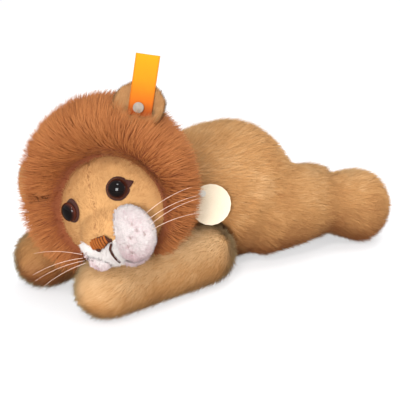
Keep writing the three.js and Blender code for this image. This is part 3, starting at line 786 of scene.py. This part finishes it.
class LION_OT_skins(bpy.types.Operator):
    """Stuffed skins of the torso, the limbs, the head, the mane, the ears, the muzzle and the tail"""

    bl_idname = "lion.skins"
    bl_label = "Skins"
    # The side of a cell of the coarse skins and of the limbs' skins
    COARSE, LIMB = 0.0026, 0.0024

    def execute(self, context):
        pile = context.scene.lion_pile
        body = backing_finish("body_backing", TAN)
        face = backing_finish("face_backing", COLOURS["face"][1])
        mane = backing_finish("mane_backing", linear(138, 74, 40))
        ear = backing_finish("ear_backing", COLOURS["ear"][1])
        white = backing_finish("muzzle_backing", COLOURS["muzzle"][1])
        inset = pile.body * 0.24
        torso_nodes = ("torso_cover", "torso_stuffing")
        torso = self.skin("torso", torso_nodes, self.COARSE, inset)
        self.kept(torso, "torso", torso_nodes, body, "body_pile", "torso")
        for limb in LIMBS:
            nodes = (limb + "_cover", limb + "_stuffing")
            plain = self.skin(limb, nodes, self.LIMB, inset)
            if limb not in COLLARS:
                self.kept(plain, limb, nodes, body, "body_pile", limb)
                continue
            both = self.skin(limb, nodes + torso_nodes, self.LIMB, inset)
            COLLARS[limb] = collar_on(both, plain, torso)
            bpy.data.objects.remove(plain)
            self.kept(both, limb, nodes, body, "body_pile", None)
            spread(both)
        head_nodes = ("head_cover", "head_stuffing")
        head = self.skin("face", head_nodes, 0.0013, pile.face * 0.5)
        self.groove(head)
        self.kept(head, "face", head_nodes, face, "face_pile", "head")
        around = self.skin("mane", ("mane", *head_nodes), self.COARSE, pile.mane * 0.22)
        self.roll_mane(around, tree_of([head]))
        self.kept(around, "mane", ("mane",), mane, "mane_pile", "head")
        for side in ("left", "right"):
            ear_node, pad_node = side + "_ear", side + "_muzzle_pad"
            self.make(ear_node, "head", (ear_node,), 0.0007, pile.ear * 0.2, ear, "ear_pile", 6)
            self.make(pad_node, "head", (pad_node,), 0.0008, pile.muzzle * 0.35, white, "muzzle_pile", 10)
        self.tuck("right_ear", 0.0045)
        self.make("chin", "head", ("chin",), 0.0007, pile.muzzle * 0.55, white, "muzzle_pile")
        self.make("tail", "tail", ("tail",), 0.0011, pile.body * 0.2, body, "body_pile")
        self.make("tail_tuft", "tail", ("tail_tuft",), 0.0014, pile.mane * 0.2, mane, "mane_pile")
        self.dimples()
        return {"FINISHED"}

    def roll_mane(self, skin, face):
        """Rounds the mane's front into a soft roll, fuller above the eyes, and sinks it at the face."""
        soften(skin, 1.5 * (1 - nearness(points_of(skin.data), face) / 0.024), 40)
        places = points_of(skin.data)
        near = nearness(places, face)
        ahead = np.clip(points_of(skin.data, "vertices", "normal") @ np.array(FORWARD) * 1.4 + 0.45, 0, 1)
        over = np.clip((places - middle_of("left_eye"))[:, 2] / 0.02, 0, 1)
        bulge = (0.0032 + 0.0032 * over) * ahead * np.exp(-(((near - 0.0115) / 0.0085) ** 2))
        shift(skin, bulge - 0.002 * (near < 0.0022))
        soften(skin, np.where(nearness(points_of(skin.data), face) > 0.005, 1.0, 0.0), 26)

    def skin(self, name, nodes, voxel, inset, passes=8):
        skin = skin_round(name + "_skin", nodes, voxel, inset, passes)
        if name in LIMBS or name == "torso":
            puff(skin, pressure=4, cap=0.001)
        return skin

    def kept(self, skin, name, nodes, finish, slot, body):
        skin.name = skin.data.name = name + "_skin"
        skin.data.materials.append(finish)
        if body:
            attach(skin, body)
        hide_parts(*nodes)
        SKINS[name] = skin

    def make(self, name, body, nodes, voxel, inset, finish, slot, passes=8):
        self.kept(self.skin(name, nodes, voxel, inset, passes), name, nodes, finish, slot, body)

    def tuck(self, name, depth):
        """Lays the front of an ear back by depth, to under the mane."""
        skin = SKINS[name]
        forward = np.array(FORWARD)
        places = points_of(skin.data)
        ahead = places @ forward
        put(skin, places - np.outer(np.maximum(0, ahead - ahead.max() + depth), forward))

    def groove(self, head):
        """Draws the face in along its middle seam."""
        depth, half_width = 0.0004, 0.0016
        shift(head, -depth * np.exp(-((off_seam(points_of(head.data)) / half_width) ** 2)))

    def dimples(self):
        """Draws both muzzle pads in where they are quilted."""
        pads = {side: SKINS[side + "_muzzle_pad"] for side in ("left", "right")}
        trees = {side: tree_of([pad]) for side, pad in pads.items()}
        plane = Vector(middle_of("head_cover"))
        for x, y in QUILTING_AT:
            place, _ = sighted(x, y, trees["left"])
            DIMPLES["left"].append(np.array(place))
            mirrored = place - LEFTWARD * 2 * (place - plane).dot(LEFTWARD)
            DIMPLES["right"].append(np.array(trees["right"].find_nearest(mirrored)[0]))
        for side, pad in pads.items():
            shift(pad, -DIMPLE_DEPTH * dimple_depth(points_of(pad.data), side))


def dimple_depth(places, side):
    """From 0 to 1, how far into a quilted dimple each place lies."""
    far = [np.linalg.norm(places - spot, axis=1) for spot in DIMPLES[side]]
    return np.exp(-(np.min(far, axis=0) / DIMPLE_RADIUS) ** 2)


def spread(piece):
    """Bakes the place of a piece that runs across a limb's seam into its vertices."""
    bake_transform(piece)


# Pile on the skins

def towards(way):
    return lambda place, normal: np.tile(np.array(way, float), (len(place), 1))


def away_from(point):
    return lambda place, normal: unit(place - point)


def floor_shade_tone(place):
    """Darker towards the floor: painted shade of the undersides."""
    return -0.72 * np.clip(1 - place[:, 2] / 0.046, 0, 1) ** 1.3


class LION_OT_pile(bpy.types.Operator):
    """Pile brushed over each skin"""

    bl_idname = "lion.pile"
    bl_label = "Pile"

    def execute(self, context):
        lengths = context.scene.lion_pile
        self.finishes = {
            name: pile_finish(name + "_strands", *colours, ROOT_SHADES.get(name, WARM_ROOT_SHADE))
            for name, colours in COLOURS.items()
        }
        self.blocked = tree_of(list(SKINS.values()))
        body = styled(length=lengths.body, field=1)
        # The torso's pile is darker towards the floor: painted shade
        self.grow("torso", "torso", body, towards((1, 0, -0.2)), "body", 1, floor_shade_tone)
        for seed, limb in enumerate(LIMBS, 2):
            hinge = hinge_of(limb)
            way = Vector(middle_of(limb + "_cover")) - hinge
            comb = towards(Vector((way.x, way.y, 0)).normalized() + Vector((0, 0, -0.2)))
            # The near foreleg's pile is paler, painted light; the other limbs are darker towards the floor,
            # painted shade
            tone = self.foreleg_painted_light(hinge) if limb == "left_foreleg" else floor_shade_tone
            self.grow(limb, limb, body, comb, "body", seed, tone)
        nose = middle_of("nose")
        self.grow(
            "face", "head",
            styled(length=lengths.face, density=5.5, width=0.00032, rise=0.42, clumping=0.12, patch=70),
            away_from(nose), "face", 11, self.face_tone, lambda place: 1.0 - self.white(place),
        )
        self.grow(
            "snout", "head",
            styled(length=lengths.muzzle * 1.3, density=7.0, width=0.00045, rise=0.6, stray=0.4, steps=2),
            away_from(nose), "muzzle", 35, lambda place: np.full(len(place), 0.3), self.white,
        )
        self.face_tree = tree_of([SKINS["face"]])
        self.mane_tree = tree_of([SKINS["mane"]])
        # The mane's pile is darker where it meets the face and towards the floor: painted shade
        for layer, seed in (("mane", 12), ("mane_upper", 112)):
            self.grow(
                layer, "head",
                styled(
                    length=lengths.mane, density=1.7, width=0.00042, steps=2, rise=0.34, most=19000,
                    clumping=0.1, clumps=0.05, stray=0.11, field=12, uneven=0.12,
                ),
                self.mane_comb, "mane", seed, self.mane_painted_shade, self.off_face,
            )
        for seed, side in enumerate(("left", "right"), 13):
            ear, pad = side + "_ear", side + "_muzzle_pad"
            self.grow(
                ear, "head", styled(length=lengths.ear, density=5.0, width=0.0004, clumping=0.2),
                away_from(middle_of("head_cover")), "ear", seed, None,
                lambda place: (nearness(place, self.mane_tree) > 0.0035).astype(float),
            )
            # The pads' pile is greyer and pinker below and in the dimples: painted shade
            self.grow(
                pad, "head",
                styled(
                    length=lengths.muzzle * 0.8, density=6.5, width=0.00042, rise=0.6, clumping=0.55,
                    clumps=0.12, patch=170, stray=0.5, steps=2,
                ),
                away_from(nose), "muzzle", seed + 5, lambda place, side=side: self.pad_painted_shade(place, side),
                lambda place, side=side: 1 - 0.6 * dimple_depth(place, side),
            )
        # The chin's pile is darker all over: painted shade under the pads
        self.grow(
            "chin", "head", styled(length=lengths.muzzle, density=6.0, width=0.0004, rise=0.6, stray=0.4),
            away_from(nose), "muzzle", 31, lambda place: np.full(len(place), -0.3),
        )
        tail = styled(length=lengths.body * 0.55, density=3.0)
        self.grow("tail", "tail", tail, towards((-0.3, 0.4, -1)), "body", 32)
        tuft = styled(length=lengths.mane * 0.8, density=2.5, steps=2, width=0.0006, bend=0.6)
        self.grow("tail_tuft", "tail", tuft, towards((-1, 0.2, -0.3)), "mane", 33)
        return {"FINISHED"}

    def white(self, place):
        """1 where the face carries the white pile that joins the nose to the right pad."""
        near = [nearness(place, tree_of([SKINS[side + "_muzzle_pad"]])) for side in ("right", "left")]
        below = (place - middle_of("nose")) @ np.array(UPWARD) < -0.0025
        ahead = (place - middle_of("head_cover")) @ np.array(FORWARD) > 0.03
        by_right, by_left = 0.007, 0.013
        return (ahead & ((near[0] < by_right) | (below & (near[1] < by_left)))).astype(float)

    def mane_comb(self, place, normal):
        """Out of the seam at the face, over the front of the mane and back along its outside."""
        forward = np.array(FORWARD)
        out = place - middle_of("head_cover")
        out = unit(out - (out @ forward)[:, None] * forward)
        ahead, aside = normal @ forward, np.sum(normal * out, axis=1)
        return out * (ahead + 0.15)[:, None] - forward * aside[:, None] + np.array([0, 0, -0.1])

    def foreleg_painted_light(self, hinge):
        """Paler all over, painted light where the head shades the near foreleg, and paler still towards the
        paw, partly the paw's own paler tips and partly a painted highlight; darker towards the floor,
        painted shade.
        """
        def tone(place):
            out = np.linalg.norm(place - np.array(hinge), axis=1)
            return 0.38 + 0.08 * np.clip((out - 0.06) / 0.05, 0, 1) + floor_shade_tone(place)

        return tone

    def off_face(self, place):
        """Shorter towards the seam with the face, and 0 where the mane's skin runs under the face."""
        hidden, full = 0.0011, 0.009
        near = nearness(place, self.face_tree)
        return np.where(near < hidden, 0, np.clip(near / full, 0.32, 1))

    def mane_painted_shade(self, place):
        """Darker where the mane meets the face, painted shade of that crease, and darker towards the floor,
        painted shade too.
        """
        return -0.5 * np.exp(-((nearness(place, self.face_tree) / 0.0045) ** 2)) + floor_shade_tone(place) * 0.8

    def face_tone(self, place):
        """Darker along the middle seam."""
        half_width = 0.0011
        return -0.22 - 0.28 * np.exp(-((off_seam(place) / half_width) ** 2))

    def pad_painted_shade(self, place, side):
        """Greyer and pinker below and in the dimples: painted shade under the pad and in its hollows."""
        low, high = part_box(side + "_muzzle_pad")
        height = (place[:, 2] - low.z) / (high.z - low.z)
        return -0.05 - 0.4 * np.clip(1 - height / 0.4, 0, 1) - 0.4 * dimple_depth(place, side)

    def grow(self, name, body, style, comb, finish, seed, tone=None, reach=None):
        skin = SKINS[{"mane_upper": "mane", "snout": "face"}.get(name, name)]
        pile = grow(name + "_pile", skin, style, comb, self.blocked, seed, tone, reach)
        pile.data.materials.append(self.finishes[finish])
        if name in COLLARS:
            spread(pile)
        else:
            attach(pile, body)


# Eyes

def finish_eye_glass():
    shader = Shader("eye_glass")
    out, _ = shader.chart("Rings")
    mottle = shader.noise(900, 2)
    colour = shader.ramp(
        out + mottle * 0.06, (0.0, (0.003, 0.002, 0.002)), (0.74, (0.004, 0.002, 0.002)),
        (0.9, linear(46, 20, 15)), (1.0, linear(76, 36, 26)),
    )
    return shader.surface(colour, roughness=0.035, specular_ior_level=0.15)


def finish_felt(name, colour):
    """Pressed wool with loose fibres."""
    shader = Shader(name)
    fibres = shader.noise(2600, 4)
    patches = shader.noise(300, 2)
    darker = tuple(c * 0.55 for c in colour)
    lighter = tuple(min(1, c * 1.6) for c in colour)
    ground = shader.mix(patches, darker, colour)
    return shader.surface(
        shader.mix(fibres, ground, lighter), roughness=0.95, sheen_weight=0.05,
        normal=shader.bump(fibres, 0.7, 0.0003),
    )


def mark(obj, name, values):
    """Gives a piece a map of its own from two numbers for each vertex."""
    corners = np.empty(len(obj.data.loops), int)
    obj.data.loops.foreach_get("vertex_index", corners)
    layer = obj.data.uv_layers.get(name) or obj.data.uv_layers.new(name=name)
    layer.data.foreach_set("uv", np.asarray(values)[corners].astype(np.float32).ravel())


class LION_OT_eyes(bpy.types.Operator):
    """Domed glass eyes on felt rims that are cut to a point at the outer corner"""

    bl_idname = "lion.eyes"
    bl_label = "Eyes"

    def execute(self, context):
        glass = finish_eye_glass()
        felt = finish_felt("rim_felt", linear(60, 27, 19))
        # The felt's fuzz is darker at its roots: painted shade deep among the fibres
        wool = pile_finish(
            "felt_fibres", linear(36, 16, 12), linear(62, 30, 21), linear(104, 58, 40), (0.8, 0.7, 0.65),
        )
        face = tree_of([SKINS["face"]])
        for seed, side in enumerate(("left", "right"), 51):
            middle, aside, over, out, top = self.place(side)
            rim = finished(
                self.rim(middle, aside, over, out, face), side + "_eye_felt", "head", "felt", felt,
                side + "_eye_rim",
            )
            eye = self.dome(side, middle + out * (top - self.SEAT), aside, over, out, glass)
            style = styled(
                length=0.0006, density=16.0, width=0.00014, rise=0.5, stray=1.0, most=6000, field=seed,
            )
            fuzz = grow(side + "_eye_felt_pile", rim, style, away_from(middle), tree_of([eye]), seed)
            finished(fuzz, side + "_eye_felt_pile", "head", "felt", wool)
        return {"FINISHED"}

    # The dome's radius, its height over its widest place and its depth under it, and where it sits
    RADIUS, HEIGHT, DEPTH, SEAT = 0.0065, 0.0038, 0.0021, 0.0053
    # The felt's radius, how far its point stands out and over what angle, and its thickness
    FELT_RADIUS, POINT, POINT_ANGLE, FELT_THICK = 0.007, 0.0032, math.radians(24), 0.0009

    def place(self, side):
        """The eye's middle on the face's plane, its three directions and how high its dome stands."""
        rim = points_of(frame["nodes"][side + "_eye_rim"].data)
        eye = points_of(frame["nodes"][side + "_eye"].data)
        out = np.linalg.svd(rim - rim.mean(axis=0), full_matrices=False)[2][2]
        out = out * np.sign(out @ (rim.mean(axis=0) - middle_of("head_cover")))
        height = eye @ out
        domed = eye[height > height.max() - 0.0042]
        low, high = domed.min(axis=0), domed.max(axis=0)
        middle = (low + high) / 2
        middle = middle - out * (middle @ out)
        spokes = rim - out * (rim @ out)[:, None] - middle
        aside = spokes[np.argmax(np.linalg.norm(spokes, axis=1))]
        aside = aside / np.linalg.norm(aside)
        return middle, aside, np.cross(out, aside), out, height.max()

    def dome(self, side, base, aside, over, out, glass):
        deselect()
        bpy.ops.mesh.primitive_uv_sphere_add(segments=64, ring_count=32, radius=1, location=(0, 0, 0))
        eye = bpy.context.object
        points = points_of(eye.data)
        mark(eye, "Rings", np.stack([np.hypot(points[:, 0], points[:, 1]), points[:, 2]], axis=1))
        axes = np.stack([aside, over, out])
        tall = np.where(points[:, 2:] > 0, self.HEIGHT, self.DEPTH)
        radii = np.concatenate([np.full((len(points), 2), self.RADIUS), tall], axis=1)
        put(eye, base + (points * radii) @ axes)
        bpy.ops.object.shade_smooth()
        return finished(eye, side + "_eye_dome", "head", "eye", glass, side + "_eye")

    def rim(self, middle, aside, over, out, face):
        """A flat cut of felt that lies on the face."""
        deselect()
        bpy.ops.mesh.primitive_grid_add(x_subdivisions=72, y_subdivisions=12, size=1, location=(0, 0, 0))
        rim = bpy.context.object
        points = points_of(rim.data)
        turn = (points[:, 0] + 0.5) * 2 * math.pi - math.pi
        share = 0.12 + 0.88 * (points[:, 1] + 0.5)
        pointed = np.clip(1 - np.abs(turn) / self.POINT_ANGLE, 0, 1) ** 1.3
        reach = (self.FELT_RADIUS + self.POINT * pointed) * share
        lifted = middle + out * 0.3
        placed = []
        for angle, far in zip(turn, reach):
            start = lifted + aside * far * math.cos(angle) + over * far * math.sin(angle)
            hit = face.ray_cast(Vector(start), Vector(-out))[0]
            placed.append(np.array(hit) + out * 0.0007 if hit else start)
        work_on(put(rim, np.array(placed)))
        edited(merge, lambda: bpy.ops.mesh.fill_holes(sides=80), face_out)
        facing = points_of(rim.data, "polygons", "normal").mean(axis=0)
        with_modifier(rim, "SOLIDIFY", thickness=self.FELT_THICK, offset=1.0 if facing @ out > 0 else -1.0)
        edited(face_out)
        bpy.ops.object.shade_smooth_by_angle(angle=math.radians(50))
        return rim


# Nose, mouth and whiskers

def finish_thread(name, dark, light):
    """Stranded sewing thread."""
    twist = 0.0006
    shader = Shader(name)
    ply = shader.ribs(shader.along((0.6, 0.5, 0.62)), twist)
    patches = shader.noise(420, 3)
    colour = shader.mix(patches, dark, light)
    return shader.surface(
        colour, roughness=0.6, sheen_weight=0.03, specular_ior_level=0.15,
        normal=shader.bump(ply, 0.35, 0.0001),
    )


class LION_OT_nose(bpy.types.Operator):
    """A nose of laid satin stitches, the mouth's thread and the quilting of the pads"""

    bl_idname = "lion.nose"
    bl_label = "Nose"

    def execute(self, context):
        silk = finish_thread("nose_silk", linear(120, 60, 20), linear(178, 102, 42))
        dark = finish_thread("mouth_thread", linear(48, 22, 18), linear(84, 44, 30))
        dusty = finish_thread("quilting_thread", linear(160, 138, 134), linear(200, 182, 178))
        base = skin_round("nose_ground", ("nose",), 0.0006, 0.0003, 6)
        finished(base, "nose_ground", "head", "stitching", dark, "nose")
        tree = tree_of([SKINS[n] for n in ("face", "left_muzzle_pad", "right_muzzle_pad", "chin")] + [base])
        mouth = [self.line(tree, MOUTH_AT, 0.0024)]
        nostrils = [self.line(tree, spots, 0.0014) for spots in NOSTRILS_AT]
        self.sewn("nose_stitches", self.rows(base), 0.00084, silk, taper=0.85)
        self.sewn("mouth_line", mouth, 0.0009, dark, "mouth_stitch")
        self.sewn("nostrils", nostrils, 0.001, dark)
        for side in ("left", "right"):
            pad = tree_of([SKINS[side + "_muzzle_pad"]])
            paths = []
            for spot in DIMPLES[side]:
                place, facing, _, _ = pad.find_nearest(Vector(spot))
                along = unit(np.cross(facing, LEFTWARD)) * 0.0011
                paths.append([np.array(place) + along * k + np.array(facing) * h for k, h in self.BRIDGE])
            self.sewn(side + "_pad_quilting", paths, 0.00042, dusty)
        return {"FINISHED"}

    def sewn(self, name, paths, radius, finish, *nodes, taper=1.0):
        finished(threads(name, paths, radius, taper), name, "head", "stitching", finish, *nodes)

    # A quilting thread's bridge over its dimple: how far along and how high, in shares and metres
    BRIDGE = ((-1, -0.0004), (-0.6, 0.0007), (0, 0.001), (0.6, 0.0007), (1, -0.0004))

    def rows(self, base):
        """Threads laid side by side from the nose's lower edge to its upper one."""
        tree = tree_of([base])
        middle = middle_of("nose")
        across, up, out = (np.array(v) for v in (LEFTWARD, UPWARD, FORWARD))
        half_width, half_height = 0.0086, 0.007
        rows = []
        for place in np.linspace(-half_width, half_width, 11):
            row = []
            for height in np.linspace(-half_height, half_height, 19):
                start = middle + across * place + up * height + out * 0.02
                hit, facing, _, _ = tree.ray_cast(Vector(start), Vector(-out))
                if hit is not None and Vector(facing).dot(FORWARD) > 0.1:
                    row.append(np.array(hit) + np.array(facing) * 0.0004)
            if len(row) > 3:
                rows.append(row)
        return rows

    def line(self, tree, spots, lift):
        """A thread's path through points of the picture, just above what lies there."""
        path = []
        for x, y in spots:
            place, facing = sighted(x, y, tree)
            path.append(np.array(place) + np.array(facing) * lift)
        return path


class LION_OT_whiskers(bpy.types.Operator):
    """Nylon whiskers that thin out to their tips"""

    bl_idname = "lion.whiskers"
    bl_label = "Whiskers"

    def execute(self, context):
        nylon = grained_finish(
            "nylon", linear(236, 196, 176), linear(252, 232, 220), (500, 2), (1500, 2), 0.2, 0.00005, 0.28,
        )
        for side in ("left", "right"):
            for number in range(1, 5):
                node = f"{side}_whisker_{number}"
                whisker = threads(node + "_hair", [middle_line(node, 24)], 0.00014, 0.4)
                finished(whisker, node + "_hair", "head", "whisker", nylon, node)
        return {"FINISHED"}


# Ribbon

class LION_OT_ribbon(bpy.types.Operator):
    """A woven ribbon, folded over at its top"""

    bl_idname = "lion.ribbon"
    bl_label = "Ribbon"
    # Half the space between the two layers, the cloth's thickness, and how much is taken off each end
    GAP, THICK, SHORTER = 0.00055, 0.00032, 0.0002

    def execute(self, context):
        middle, long, wide, thick, half, width = self.place()
        half -= self.SHORTER
        gap = self.GAP
        straight = 2 * half - gap
        length = 2 * straight + math.pi * gap
        deselect()
        bpy.ops.mesh.primitive_grid_add(x_subdivisions=10, y_subdivisions=120, size=1, location=(0, 0, 0))
        ribbon = bpy.context.object

        def fold(points):
            run = (points[:, 1] + 0.5) * length
            turn = np.clip((run - straight) / gap, 0, math.pi)
            down = np.clip(run - straight - math.pi * gap, 0, None)
            height = -half + np.minimum(run, straight) + gap * np.sin(turn) - down
            depth = gap * np.cos(turn)
            share = np.clip((height + half) / (2 * half), 0, 1)
            depth = depth + 0.0007 * np.sin(share * 2.6) * share + 0.0003 * np.cos(points[:, 0] * 3)
            return (
                middle + height[:, None] * long + depth[:, None] * thick
                + (points[:, 0] * width * (1 - 0.02 * (1 - share)))[:, None] * wide
            )

        ribbon.data.uv_layers[0].name = "Cloth"
        put(ribbon, fold(points_of(ribbon.data)))
        with_modifier(ribbon, "SOLIDIFY", thickness=self.THICK, offset=0.0)
        edited(face_out)
        bpy.ops.object.shade_smooth_by_angle(angle=math.radians(50))
        finished(ribbon, "ribbon_cloth", "ear_ribbon", "ribbon", self.cloth(width, length), "ear_ribbon")
        return {"FINISHED"}

    def place(self):
        points = points_of(frame["nodes"]["ear_ribbon"].data)
        rough = points.mean(axis=0)
        long, wide, thick = np.linalg.svd(points - rough, full_matrices=False)[2]
        long = long * np.sign(long[2])
        spans = [((points @ axis).min(), (points @ axis).max()) for axis in (long, wide, thick)]
        middle = sum(axis * (low + high) / 2 for axis, (low, high) in zip((long, wide, thick), spans))
        return middle, long, wide, thick, (spans[0][1] - spans[0][0]) / 2, spans[1][1] - spans[1][0]

    def cloth(self, width, length):
        """Fine warp and weft, a firmer edge on both sides, and painted shade, a deeper darker orange towards
        the foot.
        """
        shader = Shader("ribbon_weave")
        across, along = shader.chart("Cloth")
        warp = shader.ribs(across, 0.0003 / width)
        weft = shader.ribs(along, 0.00034 / length)
        patches = shader.noise(160, 3)
        # Darker towards the foot, away from the fold at the top: painted shade
        shade_towards_foot = shader.ramp(
            shader.off_middle(along) + patches * 0.12,
            (0.0, linear(226, 160, 2)), (0.45, linear(226, 142, 4)),
            (0.85, linear(202, 102, 6)), (1.0, linear(158, 70, 8)),
        )
        threads_tone = shader.mix(warp * weft, (0.82, 0.78, 0.7), (1, 1, 1))
        woven = shader.mix(1.0, shade_towards_foot, threads_tone, "MULTIPLY")
        edge = shader.ramp(shader.off_middle(across), (0.86, (1, 1, 1)), (0.93, (0.86, 0.8, 0.66)))
        colour = shader.mix(1.0, woven, edge, "MULTIPLY")
        return shader.surface(
            colour, roughness=0.7, specular_ior_level=0.2,
            normal=shader.bump(warp * 0.5 + weft * 0.5, 0.5, 0.00008),
        )


# Finishes of the CAD nodes that stay

class LION_OT_hardware(bpy.types.Operator):
    """Finishes of the tag, its fastener, the rivet and the washers"""

    bl_idname = "lion.hardware"
    bl_label = "Hardware"

    def execute(self, context):
        plastic = grained_finish(
            "clear_nylon_moulding", linear(214, 210, 200), linear(238, 236, 230),
            (180, 2), (1800, 3), 0.12, 0.00004, 0.38,
        )
        finishes = {"metal": self.metal(), "plastic": plastic, "card": self.card()}
        names = {
            "ear_rivet": "metal", "rivet_washer": "metal", "tag_fastener": "plastic",
            "left_eye_washer": "plastic", "right_eye_washer": "plastic", "hang_tag": "card",
        }
        for name, finish in names.items():
            node = frame["nodes"][name]
            node.data.materials.clear()
            node.data.materials.append(finishes[finish])
        return {"FINISHED"}

    def metal(self):
        """Nickel-plated brass, scuffed and dusty."""
        shader = Shader("plated_metal")
        scuffs, dust = shader.noise(900, 4), shader.noise(250, 2)
        colour = shader.mix(dust, (0.1, 0.08, 0.06), (0.24, 0.2, 0.17))
        rough = shader.node("ShaderNodeMapRange", inputs={0: scuffs, 3: 0.42, 4: 0.62})
        fine = shader.bump(scuffs, 0.15, 0.00005)
        return shader.surface(colour, metallic=1.0, roughness=rough, normal=fine)

    def card(self):
        """Smooth laid card with fibres."""
        shader = Shader("tag_card")
        cloud, fibres = shader.noise(140, 3), shader.noise(1700, 4)
        ground = shader.mix(cloud, linear(224, 202, 170), linear(240, 224, 198))
        flecked = shader.mix(fibres, ground, linear(244, 232, 210))
        return shader.surface(
            flecked, roughness=0.6, specular_ior_level=0.35, normal=shader.bump(fibres, 0.2, 0.00006),
        )


class LION_PT_panel(bpy.types.Panel):
    """Everything that makes the lion"""

    bl_idname = "LION_PT_panel"
    bl_label = "Plush Lion"
    bl_space_type = "VIEW_3D"
    bl_region_type = "UI"
    bl_category = "Lion"

    def draw(self, context):
        layout = self.layout
        for operator in OPERATORS:
            layout.operator(operator.bl_idname)
        for group in (context.scene.lion_pile, context.scene.lion_stage):
            for name in group.__annotations__:
                layout.prop(group, name)


OPERATORS = (
    LION_OT_stage, LION_OT_skins, LION_OT_pile, LION_OT_eyes, LION_OT_nose, LION_OT_whiskers, LION_OT_ribbon,
    LION_OT_hardware,
)
CLASSES = (LION_PG_pile, LION_PG_stage, *OPERATORS, LION_PT_panel)


def register():
    for made in CLASSES:
        bpy.utils.register_class(made)
    bpy.types.Scene.lion_pile = bpy.props.PointerProperty(type=LION_PG_pile)
    bpy.types.Scene.lion_stage = bpy.props.PointerProperty(type=LION_PG_stage)


def unregister():
    del bpy.types.Scene.lion_stage
    del bpy.types.Scene.lion_pile
    for made in reversed(CLASSES):
        bpy.utils.unregister_class(made)


def main():
    register()
    for operator in OPERATORS:
        getattr(bpy.ops.lion, operator.bl_idname.split(".")[1])()


if __name__ == "__main__":
    main()
